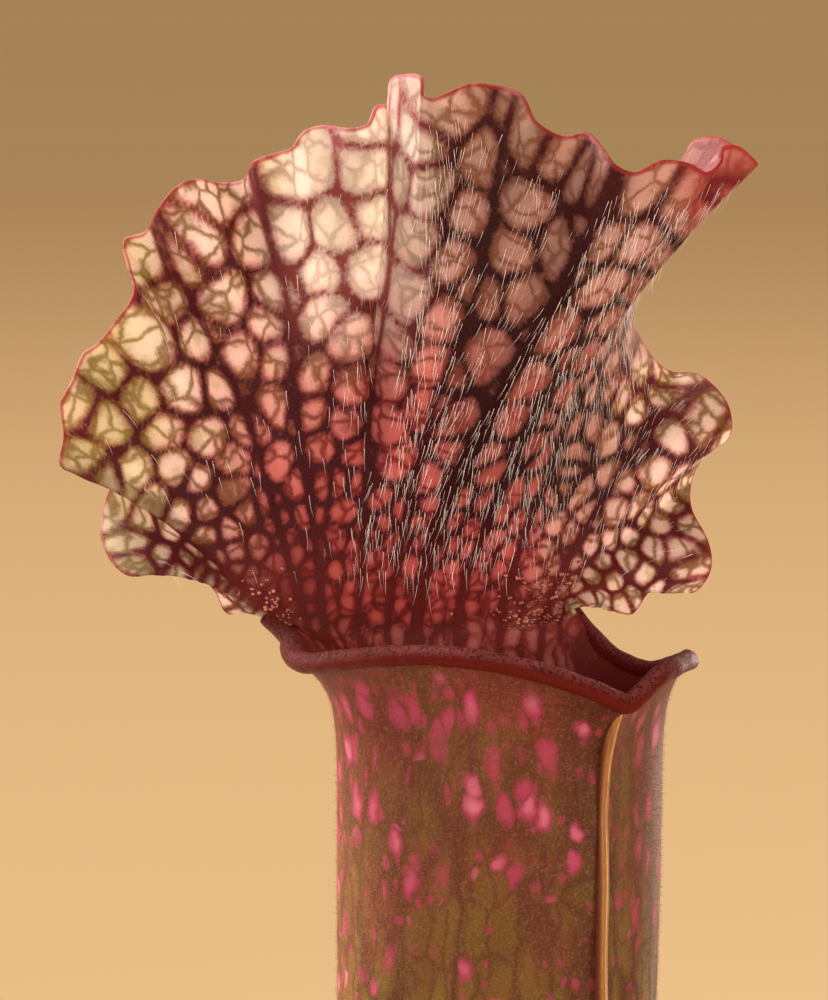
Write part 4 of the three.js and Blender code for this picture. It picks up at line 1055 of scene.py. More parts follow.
# The tube outside: soft rose spots in clusters on brown, green lower down with long dark veins
def tubeColour(tree, look, place):
    along = tree.value("along")
    bent = tree.bent(place, 0.22, 2.6)
    cloud = tree.noise(place, 0.06, 2.0)
    drift = tree.times(tree.math("SUBTRACT", cloud, 0.5), 70.0)
    low = tree.step(tree.math("ADD", drift, along), *look["green"])
    base = tree.mix(tree.step(tree.noise(place, 0.16, 3.0), 0.38, 0.66), look["tubeTop"], look["tubeShade"])
    patch = tree.step(tree.noise(tree.stretch(place, (1.0, 1.0, 0.35)), 0.3, 3.0), 0.4, 0.62)
    base = tree.mix(tree.times(low, tree.timesPlus(patch, 0.5, 0.5)), base, look["tubeLow"])

    ribs = tree.borders(tree.stretch(bent, (1.0, 1.0, 0.22)), 0.2)
    net = tree.borders(tree.stretch(bent, (1.0, 1.0, 0.5)), 0.36)
    lines = tree.math("MAXIMUM", tree.step(ribs, 0.13, 0.0), tree.times(tree.step(net, 0.14, 0.0), 0.7))
    amount = tree.times(lines, tree.timesPlus(low, 0.52, 0.34))
    base = tree.mix(amount, base, look["tubeVein"])

    # spots are soft and drawn out along the tube, which is unrolled for them from a line at its back
    drumPlace = tree.parts(place)
    angle = tree.math("ARCTAN2", drumPlace["X"], tree.times(drumPlace["Y"], -1.0))
    drumRadius = leafShape["footRadius"] + leafShape["swell"]
    flat = tree.bent(tree.joined(X=tree.times(angle, drumRadius), Y=tree.times(along, 0.7)), 0.3, 2.4)
    # painted shadow of the wing: the tube is darkened in a narrow band just beside it
    wingAngle = math.atan2(math.cos(leafShape["front"]), -math.sin(leafShape["front"]))
    beside = tree.math("SUBTRACT", wingAngle, angle)
    wingShadow = tree.times(tree.step(beside, 0.34, 0.08), tree.step(beside, -0.03, 0.0))
    base = tree.mix(tree.times(wingShadow, 0.6), base, tints["paintedWingShadow"])
    front = tree.step(tree.math("ABSOLUTE", angle), 3.12, 3.0)
    cluster = tree.step(tree.noise(place, 0.11, 1.0), 0.34, 0.56)
    chance = tree.timesPlus(cluster, 0.6, look["spots"] - 0.55)
    chance = tree.timesPlus(tree.step(along, -12.0, -3.0), 0.35, chance)
    chance = tree.times(chance, tree.timesPlus(low, -0.55, 1.0))
    ragged = tree.math("SUBTRACT", tree.noise(place, 0.9, 3.0), 0.5)
    grain = tree.noise(place, 3.4, 4.0, 0.7)
    base = tree.mix(tree.times(tree.step(grain, 0.5, 0.68), 0.22), base, tints["paleGrain"])
    base = tree.mix(tree.times(tree.step(grain, 0.48, 0.3), 0.3), base, tints["darkGrain"])

    def spotLayer(scale, smallest, share):
        cells = tree.cells(flat, scale, randomness=0.86)
        cells.voronoi_dimensions = "2D"
        pick = tree.picks(cells)
        kept = tree.step(tree.math("SUBTRACT", tree.times(chance, share), pick[0]), -0.02, 0.03)
        away = tree.timesPlus(ragged, 0.3, cells.outputs["Distance"])
        size = tree.timesPlus(pick[1], 0.14, smallest)
        spot = tree.times(tree.step(away, size, tree.math("SUBTRACT", size, 0.24)), kept)
        return spot, tree.times(tree.step(away, 0.3, 0.04), pick[2])

    large, core = spotLayer(0.37, 0.34, 1.0)
    small = spotLayer(0.7, 0.32, 0.55)[0]
    shade = tree.mix(core, look["spot"], look["spotCore"])
    upper = tree.times(tree.step(along, -0.4, -2.4), front)
    amount = tree.times(tree.math("MAXIMUM", large, tree.times(small, 0.7)), upper)
    # the spots pale into the brown in places
    strength = tree.timesPlus(tree.step(tree.noise(place, 0.2, 1.0), 0.36, 0.6), 0.5, 0.38)
    return tree.mix(tree.times(amount, strength), base, shade)


def makeLeafMaterial(name, look):
    material, tree = newMaterial(name)
    place = tree.vector("roll")
    along, isInner = tree.value("along"), tree.value("isInner")
    hood, vein = hoodColour(tree, look, tree.vector("at"))
    tube = tubeColour(tree, look, place)
    deep = tree.step(along, -6.0, -17.0)
    lining = tree.mix(tree.step(along, -30.0, -110.0), tints["lining"], tints["lowLining"])
    lining = tree.mix(tree.times(tree.noise(place, 0.4, 1.0), 0.5), lining, tints["liningCloud"])
    inside = tree.mix(deep, hood, lining)
    isHood = tree.step(along, -0.8, 2.0)
    colour = tree.mix(isInner, tree.mix(isHood, tube, hood), inside)
    grain = tree.noise(tree.vector("at"), 4.5, 4.0, 0.65)
    colour = tree.mix(tree.times(tree.step(grain, 0.42, 0.75), 0.05), colour, tints["bloom"])
    colour = tree.mix(tree.times(tree.step(grain, 0.52, 0.25), 0.24), colour, tints["pores"])
    normal = tree.bump(grain, 0.00014, 0.7)
    surface = tree.put("ShaderNodeBsdfPrincipled", {
        "Base Color": colour, "Roughness": 0.5, "Specular IOR Level": 0.16, "Normal": normal,
        "Sheen Weight": 0.03, "Sheen Roughness": 0.5, "Sheen Tint": rgb(*tints["sheen"]),
    }).outputs["BSDF"]
    glow = tree.put("ShaderNodeBsdfTranslucent", {"Color": colour, "Normal": normal}).outputs["BSDF"]
    clear = tree.times(isHood, tree.timesPlus(vein, -0.3, 0.6))
    both = tree.put("ShaderNodeMixShader", {"Fac": clear, 1: surface, 2: glow})
    finishMaterial(tree, both.outputs["Shader"])
    return material


leafMaterials = {name: makeLeafMaterial(name, look) for name, look in leafLooks.items()}

lipSettings = {
    "radius": 1.0, "rings": 420, "sides": 20, "outward": 0.25, "endFade": 0.5,
    # the top colour is partly the lip's own and partly a painted sheen
    "colour": (88, 20, 16), "under": (88, 18, 10), "top": (118, 58, 62), "pit": (30, 6, 10),
    "endColour": (96, 36, 34), "grain": (140, 58, 46), "shine": (255, 140, 110),
}


def makeLipMaterial(settings):
    material, tree = newMaterial("lip_gloss")
    place, over = tree.vector("roll"), tree.value("over")
    cloud = tree.noise(place, 0.3, 3.0)
    colour = tree.mix(tree.step(over, 0.1, -0.8), settings["colour"], settings["under"])
    # the upper side of the roll is paler and greyer: partly its own colour, partly a painted sheen
    top = tree.times(tree.step(over, 0.1, 0.9), tree.timesPlus(cloud, 0.6, 0.4))
    colour = tree.mix(top, colour, settings["top"])
    colour = tree.mix(tree.times(tree.value("end"), 0.75), colour, settings["endColour"])
    pits = tree.cells(tree.bent(place, 1.5, 0.6), 3.2)
    pick = tree.picks(pits)[0]
    dots = tree.times(tree.step(pits.outputs["Distance"], 0.5, 0.24), tree.step(pick, 0.12, 0.2))
    dots = tree.times(dots, tree.step(over, 0.05, 0.45))
    grain = tree.noise(place, 4.0, 4.0, 0.7)
    colour = tree.mix(tree.times(tree.step(grain, 0.55, 0.72), 0.35), colour, settings["grain"])
    colour = tree.mix(tree.times(dots, 0.85), colour, settings["pit"])
    height = tree.math("ADD", tree.timesPlus(dots, -0.8, tree.noise(place, 1.2, 3.0)), grain)
    finishSurface(tree, {
        "Base Color": colour, "Roughness": 0.46, "Specular IOR Level": 0.22,
        "Specular Tint": rgb(*settings["shine"]),
        "Normal": tree.bump(height, 0.00022, 0.8),
    })
    return material


lipMaterial = makeLipMaterial(lipSettings)


# Quads between rings that hold the same number of points; turned ones face the other way
def ringFaces(rings, sides, turned=False):
    ring, side = np.meshgrid(np.arange(rings - 1), np.arange(sides), indexing="ij")
    ring, side = ring.ravel(), side.ravel()
    a, b = ring * sides + side, ring * sides + (side + 1) % sides
    corners = [a, a + sides, b + sides, b] if turned else [a, b, b + sides, a + sides]
    return np.stack(corners, 1).tolist()


# A closed bar: each end ring is one face
def barFaces(rings, sides):
    last = (rings - 1) * sides
    return ringFaces(rings, sides) + [list(range(sides - 1, -1, -1)), list(range(last, last + sides))]


# A closed body: a fan joins each end ring to its pole, and the poles are the last two points
def bodyFaces(rings, sides, turned=False):
    pole = rings * sides
    last = pole - sides
    fans = [[pole, (s + 1) % sides, s] for s in range(sides)]
    fans += [[pole + 1, last + s, last + (s + 1) % sides] for s in range(sides)]
    if turned:
        fans = [[first, third, second] for first, second, third in fans]
    return ringFaces(rings, sides, turned) + fans


def buildLip(name, pitcher, spec, settings):
    rings = round(settings["rings"] * spec["detail"])
    sides = max(10, round(settings["sides"] * spec["detail"]))
    places = np.linspace(0.0, rimEnd, rings)
    ahead, behind = rimCurve.at(np.minimum(places + 0.3, rimEnd)), rimCurve.at(np.maximum(places - 0.3, 0.0))
    alongRim = ahead - behind
    alongRim /= np.linalg.norm(alongRim, axis=1)[:, None]
    across = np.cross(alongRim, [0.0, 0.0, 1.0])
    across /= np.linalg.norm(across, axis=1)[:, None]
    over = np.cross(across, alongRim)
    fade = np.minimum(1.0, settings["endFade"] + 0.35 * np.minimum(places, rimEnd - places))
    middle = rimCurve.at(places) + across * settings["outward"]
    length = np.concatenate([[0.0], np.cumsum(np.linalg.norm(np.diff(middle, axis=0), axis=1))])
    lumps = 1 + 0.03 * np.sin(0.8 * length + 1.0) + 0.02 * np.sin(2.1 * length)
    thick = 1 + 0.18 * np.exp(-((places - 1.6) / 1.6) ** 2)
    radius = settings["radius"] * fade * lumps * thick
    angles = -2 * np.pi * np.arange(sides) / sides
    # the roll hangs a little over the outside
    reach = radius[:, None] * (1 + 0.12 * np.cos(angles)[None, :])
    drop = radius[:, None] * np.sin(angles)[None, :] - 0.16 * np.maximum(np.cos(angles)[None, :], 0)
    outward = across[:, None] * (reach * np.cos(angles))[..., None]
    points = middle[:, None] + outward + over[:, None] * drop[..., None]
    points = pitcher.toWorld(points.reshape(-1, 3))
    turns = [np.tile(np.cos(angles), rings), np.tile(np.sin(angles), rings)]
    roll = np.stack([np.repeat(length, sides), *turns], 1)
    end = np.repeat(smoothStep(places, 2.2, 0.6), sides) * smoothStep(roll[:, 2], 0.9, 0.0)
    attributes = {"roll": roll, "over": roll[:, 2], "end": end}
    lip = meshPiece(name, points, barFaces(rings, sides), lipMaterial, attributes)
    standFor(lip, spec["slot"], spec["node"])


wingSettings = {
    "rings": 220, "thickness": 0.8, "rootSink": 0.5, "sides": 12, "gusset": 2.6,
    # the lightest colour is a painted highlight along the blade's edge
    "edgeColour": (150, 94, 18), "paintedEdgeHighlight": (214, 158, 80), "rootColour": (92, 24, 12),
    "lowColour": (132, 128, 48), "lowTip": (186, 160, 78), "streaks": (120, 44, 40),
}


def makeWingMaterial(settings):
    material, tree = newMaterial("wing_edge")
    place = tree.vector("roll")
    rim, along = tree.value("rim"), tree.value("along")
    colour = tree.mix(tree.step(rim, 0.55, 0.85), settings["rootColour"], settings["edgeColour"])
    # the very edge is lightened: a painted highlight
    colour = tree.mix(tree.step(rim, 0.975, 1.0), colour, settings["paintedEdgeHighlight"])
    low = tree.mix(tree.step(rim, 0.0, 0.8), settings["lowColour"], settings["lowTip"])
    colour = tree.mix(tree.step(along, -60.0, -150.0), colour, low)
    streak = tree.noise(tree.stretch(place, (3.0, 3.0, 0.25)), 0.7, 3.0)
    colour = tree.mix(tree.times(tree.step(streak, 0.52, 0.7), 0.5), colour, settings["streaks"])
    finishSurface(tree, {
        "Base Color": colour, "Roughness": 0.42, "Sheen Weight": 0.2,
        "Normal": tree.bump(tree.noise(place, 2.4), 0.00015, 0.6),
    })
    return material


wingMaterial = makeWingMaterial(wingSettings)


def buildWing(name, pitcher, spec, settings):
    rings = round(settings["rings"] * spec["detail"])
    sides = settings["sides"]
    size = pitcher.size
    front = leafShape["front"]
    lowRings = round(rings * 0.88)
    share = np.linspace(0.0, 1.0, lowRings)
    firstRise = 1.3 * leafShape["stalk"] / pitcher.height
    rise = firstRise + (pitcher.flareStart - firstRise) * share
    width = size * (1.2 + 4.4 * np.sin(np.pi * share) ** 0.8 * (1 - 0.45 * share))
    # it widens into a small gusset under the spout
    upperShare = np.linspace(0.0, 1.0, rings - lowRings + 1)[1:]
    upperRise = pitcher.flareStart + (0.997 - pitcher.flareStart) * upperShare
    root = pitcher.tube(front, np.concatenate([rise, upperRise]), -settings["rootSink"] * size)
    upperWidth = size * (1.2 + settings["gusset"] * upperShare**2)
    width = np.concatenate([width, upperWidth]) + settings["rootSink"] * size
    along = (root[:, 2] - pitcher.mouth[2]) / size
    sway = 0.18 * size * np.sin(along * 0.31) * np.clip(width / size - 1.5, 0.0, 1.0)
    # a blade with a rounded, slightly thickened edge
    angle = 2 * np.pi * np.arange(sides) / sides
    reach = 0.5 - 0.5 * np.cos(angle)
    half = 0.5 * settings["thickness"] * size * np.sign(np.sin(angle)) * np.abs(np.sin(angle)) ** 0.45
    half = half * (0.86 + 0.2 * smoothStep(reach, 0.6, 0.95))
    outward = width[:, None] * reach[None, :]
    sideways = half[None, :] + sway[:, None] * reach[None, :] ** 2
    points = root[:, None] + outward[..., None] * pitcher.front + sideways[..., None] * pitcher.side
    rim = np.tile(reach, rings)
    roll = np.stack([outward.ravel(), np.tile(half, rings), np.repeat(along, sides)], 1)
    attributes = {"rim": rim, "along": np.repeat(along, sides), "roll": roll}
    faces = [face[::-1] for face in barFaces(rings, sides)]
    wing = meshPiece(name, points.reshape(-1, 3), faces, wingMaterial, attributes)
    standFor(wing, spec["slot"], spec["node"])


# Sizes are in metres, and densities are for each square metre where the cover is thickest
hairSettings = {
    "throatHairs": {"density": 1.7e6, "length": 0.0019, "thickness": 0.000026, "bend": 0.0003, "seed": 3},
    "hairColours": ((255, 250, 244), (240, 224, 218)),
    "fuzz": {"density": 4.5e6, "length": 0.00026, "thickness": 0.00001, "bend": 0.0, "seed": 5},
    "fuzzColours": ((196, 132, 104), (150, 84, 60)),
    "fuzzReach": (-72.0, -50.0),       # how far below the mouth it goes
    "drops": {"density": 5.0e6, "size": 0.00052, "seed": 8},
    "dropColours": ((128, 38, 26), (206, 120, 104)),
}


def makeHairMaterial(name, light, dark):
    material, tree = newMaterial(name)
    place = tree.place()
    colour = tree.mix(tree.noise(place, 300.0), light, dark)
    finishSurface(tree, {"Base Color": colour, "Roughness": 0.35})
    return material


def makeDropMaterial():
    material, tree = newMaterial("nectar")
    place = tree.place()
    colour = tree.mix(tree.step(tree.noise(place, 700.0), 0.4, 0.65), *hairSettings["dropColours"])
    finishSurface(tree, {"Base Color": colour, "Roughness": 0.12, "Specular IOR Level": 0.9})
    return material


hairMaterial = makeHairMaterial("white_hair", *hairSettings["hairColours"])
fuzzMaterial = makeHairMaterial("tube_fuzz", *hairSettings["fuzzColours"])
dropMaterial = makeDropMaterial()


# Tapered hairs on a bed, each turned along the bed's hairDirection
def makeHairTree(name, segments, material):
    inputs = {"density": 1.0, "length": 0.0018, "thickness": 0.00004, "bend": 0.0004, "seed": 3}
    group, tree, start, end = newGeometryTree(name, inputs)
    socket = start.outputs
    points = spreadPoints(tree, socket)
    tipRadius = 0.000004
    strand = spike(tree, 3, segments, tipRadius, socket["thickness"], socket["length"])
    share = tree.math("DIVIDE", heightOf(tree), socket["length"])
    curl = tree.times(tree.math("POWER", share, 2.0), socket["bend"])
    strand = moved(tree, strand, tree.joined(X=curl))
    jitter = randomBetween(tree, (-0.12, -0.12, -0.12), (0.12, 0.12, 0.12), 11)
    aim = tree.vectorMath("ADD", bedValue(tree, "hairDirection", "FLOAT_VECTOR"), jitter)
    turn = tree.put("FunctionNodeAlignRotationToVector", {"Vector": aim}, axis="Z").outputs[0]
    scale = tree.put("FunctionNodeRandomValue", {2: 0.55, 3: 1.25, "Seed": 12}, data_type="FLOAT").outputs[1]
    finishCopies(tree, end, points, strand, turn, scale, material)
    return group


# Copies of one small shape strewn over a bed, where its "cover" attribute says so
def makeScatterTree(name, shape, tilt, flatness, material):
    group, tree, start, end = newGeometryTree(name, {"density": 1.0, "size": 0.001, "seed": 1})
    points = spreadPoints(tree, start.outputs)
    angles = randomBetween(tree, (-tilt, -tilt, 0.0), (tilt, tilt, 2 * math.pi), 21)
    turn = tree.put("FunctionNodeEulerToRotation", {0: angles}).outputs[0]
    sides = randomBetween(tree, (0.5, 0.5, 0.5 * flatness), (1.35, 1.35, 1.2 * flatness), 22)
    scale = tree.vectorMath("SCALE", sides, start.outputs["size"])
    finishCopies(tree, end, points, shape(tree), turn, scale, material)
    return group


def ball(tree, segments, rings):
    inputs = {"Segments": segments, "Rings": rings, "Radius": 0.5}
    return tree.put("GeometryNodeMeshUVSphere", inputs).outputs["Mesh"]


def dropShape(tree):
    return tree.put("GeometryNodeSetShadeSmooth", {"Geometry": ball(tree, 8, 6)}).outputs[0]


hairTree = makeHairTree("hairs", 3, hairMaterial)
fuzzTree = makeHairTree("fuzz", 1, fuzzMaterial)
dropTree = makeScatterTree("drops", dropShape, 0.4, 0.8, dropMaterial)


# A bed is a copy of some of a leaf's faces, with how thickly it is covered and which way hairs point
def growOn(name, spec, points, faces, tree, settings, material, cover, direction):
    used = np.unique(faces)
    index = np.full(len(points), -1)
    index[used] = np.arange(len(used))
    bed = meshPiece("bed", points[used], index[faces], material,
                    {"hairDirection": direction[used], "cover": cover[used]})
    piece = bakeGeometryNodes(name, bed, tree, settings, material)
    bpy.data.objects.remove(bed)
    standFor(piece, spec["slot"])


def buildHairs(name, pitcher, spec, sheet, inner, faces, normals):
    place, step, along = sheet.place, np.maximum(sheet.step, 0.0), sheet.along
    down = hoodPoints(place, np.maximum(step - 0.02, 0.0))
    down = down - hoodPoints(place, np.minimum(step + 0.02, 1.0))
    down = pitcher.turned(down / (np.linalg.norm(down, axis=1)[:, None] + 1e-9))
    direction = 0.85 * down + [0.0, 0.0, -0.25] - normals * 0.3
    cover = 0.06 + 0.94 * smoothStep(place, 4.0, 13.0) * smoothStep(place, 50.0, 34.0)
    cover = cover * smoothStep(along, 4.0, 10.0) * smoothStep(step, 1.0, 0.86)
    # the sides of the folds are nearly bare
    cover = cover * (0.05 + 0.95 * smoothStep(np.abs(normals @ pitcher.front), 0.3, 0.8))
    settings = dict(hairSettings["throatHairs"])
    settings["length"] *= pitcher.size
    settings["bend"] *= pitcher.size
    settings["density"] = settings["density"] * spec["hairs"] / pitcher.size**2
    faces = faces[:, ::-1]
    growOn(f"{name}_hairs", spec, inner, faces, hairTree, settings, hairMaterial, cover, direction)
    if spec["detail"] < 1.0:
        return
    wet = np.exp(-(((place - 12.0) / 5.0) ** 2)) + np.exp(-(((place - 65.0) / 5.0) ** 2))
    wet = np.clip(wet, 0.0, 1.0) * smoothStep(along, 7.5, 1.0)
    drops = hairSettings["drops"]
    growOn(f"{name}_drops", spec, inner, faces, dropTree, drops, dropMaterial, wet, direction)


# Very short hairs on the outside of the tube, which show as a soft edge
def buildFuzz(name, spec, sheet, outer, faces, normals):
    cover = smoothStep(sheet.along, *hairSettings["fuzzReach"])
    faces = faces[(cover[faces] > 0.01).all(1)]
    fuzz = hairSettings["fuzz"]
    growOn(f"{name}_fuzz", spec, outer, faces, fuzzTree, fuzz, fuzzMaterial, cover, normals)


for spec in openPitchers:
    name = spec["node"]
    pitcher, sheet, outer, inner, faces, onHood, normals = buildLeaf(f"{name}_leaf", spec, meshDetail)
    buildLip(f"{name}_lip", pitcher, spec, lipSettings)
    buildWing(f"{name}_wing", pitcher, spec, wingSettings)
    hoodFaces = faces[onHood[faces].all(1)]
    buildHairs(name, pitcher, spec, sheet, inner, hoodFaces, normals)
    if spec["detail"] == 1.0:
        buildFuzz(name, spec, sheet, outer, faces[~onHood[faces].any(1)], normals)
print("open pitchers ready")

youngSettings = {
    "rows": 150, "sides": 56, "wingWidth": 0.2,
    "green": (150, 158, 74), "pale": (190, 190, 110), "vein": (150, 46, 46), "tip": (172, 82, 70),
    "foot": (150, 84, 66),
    "leaves": {
        "front_young_pitcher": {"foot": (6, -14, 91), "tip": (12, -40, 200), "facing": 1.9, "size": 1.0},
        "middle_young_pitcher": {"foot": (8, -1, 93), "tip": (17, 2, 162), "facing": 3.6, "size": 0.8},
    },
}


def makeYoungMaterial(settings):
    material, tree = newMaterial("young_leaf")
    place, rise = tree.vector("roll"), tree.value("rise")
    cloud = tree.noise(place, 0.08, 2.0)
    colour = tree.mix(tree.step(cloud, 0.35, 0.7), settings["green"], settings["pale"])
    bent = tree.bent(place, 0.3, 1.6)
    ribs = tree.borders(tree.stretch(bent, (1.0, 1.0, 0.12)), 0.5)
    net = tree.borders(tree.stretch(bent, (1.0, 1.0, 0.5)), 0.7)
    high = tree.step(rise, 0.35, 0.95)
    lines = tree.math("MAXIMUM", tree.step(ribs, 0.11, 0.03), tree.times(tree.step(net, 0.09, 0.02), high))
    amount = tree.times(lines, tree.timesPlus(high, 0.55, 0.3))
    colour = tree.mix(tree.times(high, 0.5), colour, settings["tip"])
    colour = tree.mix(amount, colour, settings["vein"])
    colour = tree.mix(tree.step(rise, 0.1, 0.0), colour, settings["foot"])
    finishSurface(tree, {
        "Base Color": colour, "Roughness": 0.42, "Sheen Weight": 0.2, "Sheen Roughness": 0.4,
        "Normal": tree.bump(tree.timesPlus(lines, 0.5, tree.noise(place, 1.6)), 0.00018, 0.6),
    })
    return material


youngMaterial = makeYoungMaterial(youngSettings)


def buildYoungLeaf(name, spec, settings):
    foot, tip = np.array(spec["foot"], dtype=float), np.array(spec["tip"], dtype=float)
    rows, sides, size = settings["rows"], settings["sides"], spec["size"]
    rise = np.linspace(0.0, 1.0, rows + 1)[:, None]
    middle = Spine(foot, tip, 0.35, 0.3).at(rise[:, 0])
    angle = (2 * np.pi * np.arange(sides) / sides)[None, :]
    around = np.arctan2(np.sin(angle), np.cos(angle))
    swell = 2.3 + 3.1 * np.sin(np.pi * np.minimum(1, rise * 1.02) ** 1.5) - 1.7 * rise**4
    front = 1.9 * np.sin(np.pi * rise) * np.exp(-((around / settings["wingWidth"]) ** 2))
    # the shut lid: a shallow crease slants down from its hinge at the back
    crease = rise - (0.86 - 0.07 * np.cos(angle))
    lid = -0.34 * np.exp(-((crease / 0.006) ** 2))
    lid = lid + 0.3 * smoothStep(crease, 0.004, 0.03) * smoothStep(rise, 1.0, 0.93)
    ribs = 0.07 * np.cos(9 * angle + 2.0 * np.sin(5 * rise)) * smoothStep(rise, 0.1, 0.3)
    radius = np.maximum(swell + lid + ribs, 0.35)
    x = (radius * np.cos(angle) + front) * size
    y = radius * np.sin(angle) * (1 - 0.35 * rise**2) * size
    c, s = math.cos(spec["facing"]), math.sin(spec["facing"])
    points = np.stack([x * c - y * s, x * s + y * c, 0.0 * x], -1) + middle[:, None]
    count = (rows + 1) * sides
    circle = [5 * np.cos(angle) + 0 * rise, 5 * np.sin(angle) + 0 * rise]
    roll = np.stack([*circle, points[..., 2]], -1).reshape(-1, 3)
    riseValues = np.repeat(rise[:, 0], sides)
    # a rounded point closes the tip
    points = np.vstack([points.reshape(-1, 3), middle[-1] + [0, 0, 0.7 * size]])
    faces = barFaces(rows + 1, sides)[:-1]
    last = count - sides
    faces += [[last + side, last + (side + 1) % sides, count] for side in range(sides)]
    leaf = meshPiece(f"{name}_leaf", points, faces, youngMaterial, {
        "roll": np.vstack([roll, roll[-1:]]), "rise": np.append(riseValues, 1.0),
    })
    standFor(leaf, "green_leaf", name)


for key, spec in youngSettings["leaves"].items():
    buildYoungLeaf(key, spec, youngSettings)
print("young pitchers ready")

potSettings = {
    "height": 108.0, "rimRadius": 62.0, "band": 14.0, "baseRadius": 44.0, "wall": 2.0,
    "drainRadius": 4.0, "drainCircle": 28.0, "drainCount": 6, "drainSides": 36, "segments": 180,
    "groove": 0.35, "colour": (50, 47, 44), "worn": (66, 62, 58), "dust": (120, 104, 86),
}


def innerPotRadius(z, settings):
    low = settings["baseRadius"] - settings["wall"]
    high = settings["rimRadius"] - settings["wall"] - 2.2
    return low + (high - low) * z / (settings["height"] - settings["band"])


# Rounds the corners of a profile with short curves; each point is radius, height and rounding
def roundedProfile(corners, pieces=5):
    points = [corners[0][:2]]
    for before, corner, after in zip(corners[:-2], corners[1:-1], corners[2:]):
        here = np.array(corner[:2])
        ends = []
        for other in (before, after):
            line = np.array(other[:2]) - here
            length = np.linalg.norm(line)
            ends.append(here + line / length * min(corner[2], 0.45 * length))
        for t in np.linspace(0.0, 1.0, pieces):
            points.append(tuple((1 - t) ** 2 * ends[0] + 2 * t * (1 - t) * here + t**2 * ends[1]))
    return np.array(points + [corners[-1][:2]])


def lathe(profile, segments):
    angles = 2 * np.pi * np.arange(segments) / segments
    ring = profile[1:-1]
    points = np.stack([
        ring[:, 0, None] * np.cos(angles), ring[:, 0, None] * np.sin(angles),
        ring[:, 1, None] + 0 * angles,
    ], -1).reshape(-1, 3)
    points = np.vstack([points, [0, 0, profile[0][1]], [0, 0, profile[-1][1]]])
    return points, bodyFaces(len(ring), segments)


def makePotMaterial(settings):
    material, tree = newMaterial("pot_plastic")
    place = tree.place()
    height = tree.parts(place)["Z"]
    speckle = tree.noise(place, 900.0, 3.0)
    cloud = tree.noise(place, 22.0, 4.0)
    colour = tree.mix(tree.times(cloud, 0.5), settings["colour"], settings["worn"])
    # dust settles under the band and splashes of peat at the foot and rim
    dusty = tree.times(tree.step(tree.noise(place, 60.0, 5.0, 0.65), 0.52, 0.78), 0.42)
    nearRim = tree.math("MAXIMUM", tree.step(height, 0.088, 0.106), tree.step(height, 0.02, 0.0))
    amount = tree.times(dusty, tree.timesPlus(nearRim, 0.7, 0.3))
    colour = tree.mix(amount, colour, settings["dust"])
    scratch = tree.noise(tree.stretch(place, (1.0, 1.0, 0.06)), 700.0, 2.0)
    rough = tree.timesPlus(scratch, 0.24, 0.38)
    relief = tree.math("ADD", speckle, tree.times(cloud, 0.6))
    finishSurface(tree, {
        "Base Color": colour, "Roughness": rough, "Normal": tree.bump(relief, 0.00012, 0.5),
    })
    return material


def buildPot(settings):
    height, rim, wall = settings["height"], settings["rimRadius"], settings["wall"]
    band = height - settings["band"]
    base = settings["baseRadius"]
    floor = wall + 0.4
    shoulder = rim - 2.4
    innerTop, innerLow = innerPotRadius(band, settings), innerPotRadius(floor, settings)

    def side(z, sink=0.0):
        return base + (shoulder - base) * z / band - sink

    groove = settings["groove"]
    corners = [
        (0, 0, 0), (base - 0.2, 0, 1.2),
        (side(8.0), 8.0, 0.4), (side(8.4, groove), 8.6, 0.3),
        (side(9.6, groove), 9.6, 0.3), (side(10.0), 10.2, 0.4),
        (side(84.0), 84.0, 0.4), (side(84.4, groove), 84.5, 0.3),
        (side(85.4, groove), 85.4, 0.3), (side(86.0), 86.0, 0.4),
        (shoulder, band - 0.6, 0.6), (rim - 0.7, band + 0.2, 0.7),
        (rim - 0.1, height - 3.2, 0.4), (rim + 0.1, height - 2.6, 0.6), (rim - 0.2, height, 0.9),
        (rim - wall, height - 0.1, 0.8), (rim - wall - 0.5, band + 1, 0.8),
        (innerTop, band - 1, 0.8), (innerLow, floor, 1.6), (0, floor, 0),
    ]
    material = makePotMaterial(settings)
    points, faces = lathe(roundedProfile(corners), settings["segments"])
    pot = meshPiece("pot_body", points, faces, material)
    # six drain holes go through the base
    radius, away = settings["drainRadius"], settings["drainCircle"]
    plug, sides = lathe(np.array([(0, -4), (radius, -4), (radius, 8), (0, 8)]), settings["drainSides"])
    cutterPoints, cutterFaces = [], []
    for index in range(settings["drainCount"]):
        turn = 2 * math.pi * index / settings["drainCount"]
        cutterFaces += [[corner + index * len(plug) for corner in face] for face in sides]
        cutterPoints.append(plug + [away * math.cos(turn), away * math.sin(turn), 0])
    cutter = meshPiece("drainCutter", np.vstack(cutterPoints), cutterFaces, material)
    cut = pot.modifiers.new("drain", "BOOLEAN")
    cut.object = cutter
    cut.operation = "DIFFERENCE"
    cut.solver = "EXACT"
    graph = bpy.context.evaluated_depsgraph_get()
    mesh = bpy.data.meshes.new_from_object(pot.evaluated_get(graph))
    pot.modifiers.clear()
    pot.data = mesh
    bpy.data.objects.remove(cutter)
    standFor(pot, "pot_plastic", "pot")
    print("pot faces:", len(mesh.polygons))


buildPot(potSettings)

groundSettings = {
    "top": 94.0, "rings": 84, "segments": 240,
    "rhizomeMiddle": (4.0, -3.0, 88.5), "rhizomeRadii": (31.0, 18.0, 12.0),
    "rhizomeColumns": 150, "rhizomeRows": 84,
    # height, fineness and seed of each layer of crumbs
    "crumbLayers": [(0.5, 1.1, 31), (0.35, 2.6, 32), (0.2, 5.2, 33)],
    "peat": (70, 48, 32), "peatDark": (36, 24, 17), "peatLight": (112, 82, 56), "fibre": (138, 104, 72),
    "barkDark": (92, 58, 38), "bark": (140, 96, 60), "barkScar": (58, 34, 24), "barkGreen": (112, 112, 54),
}


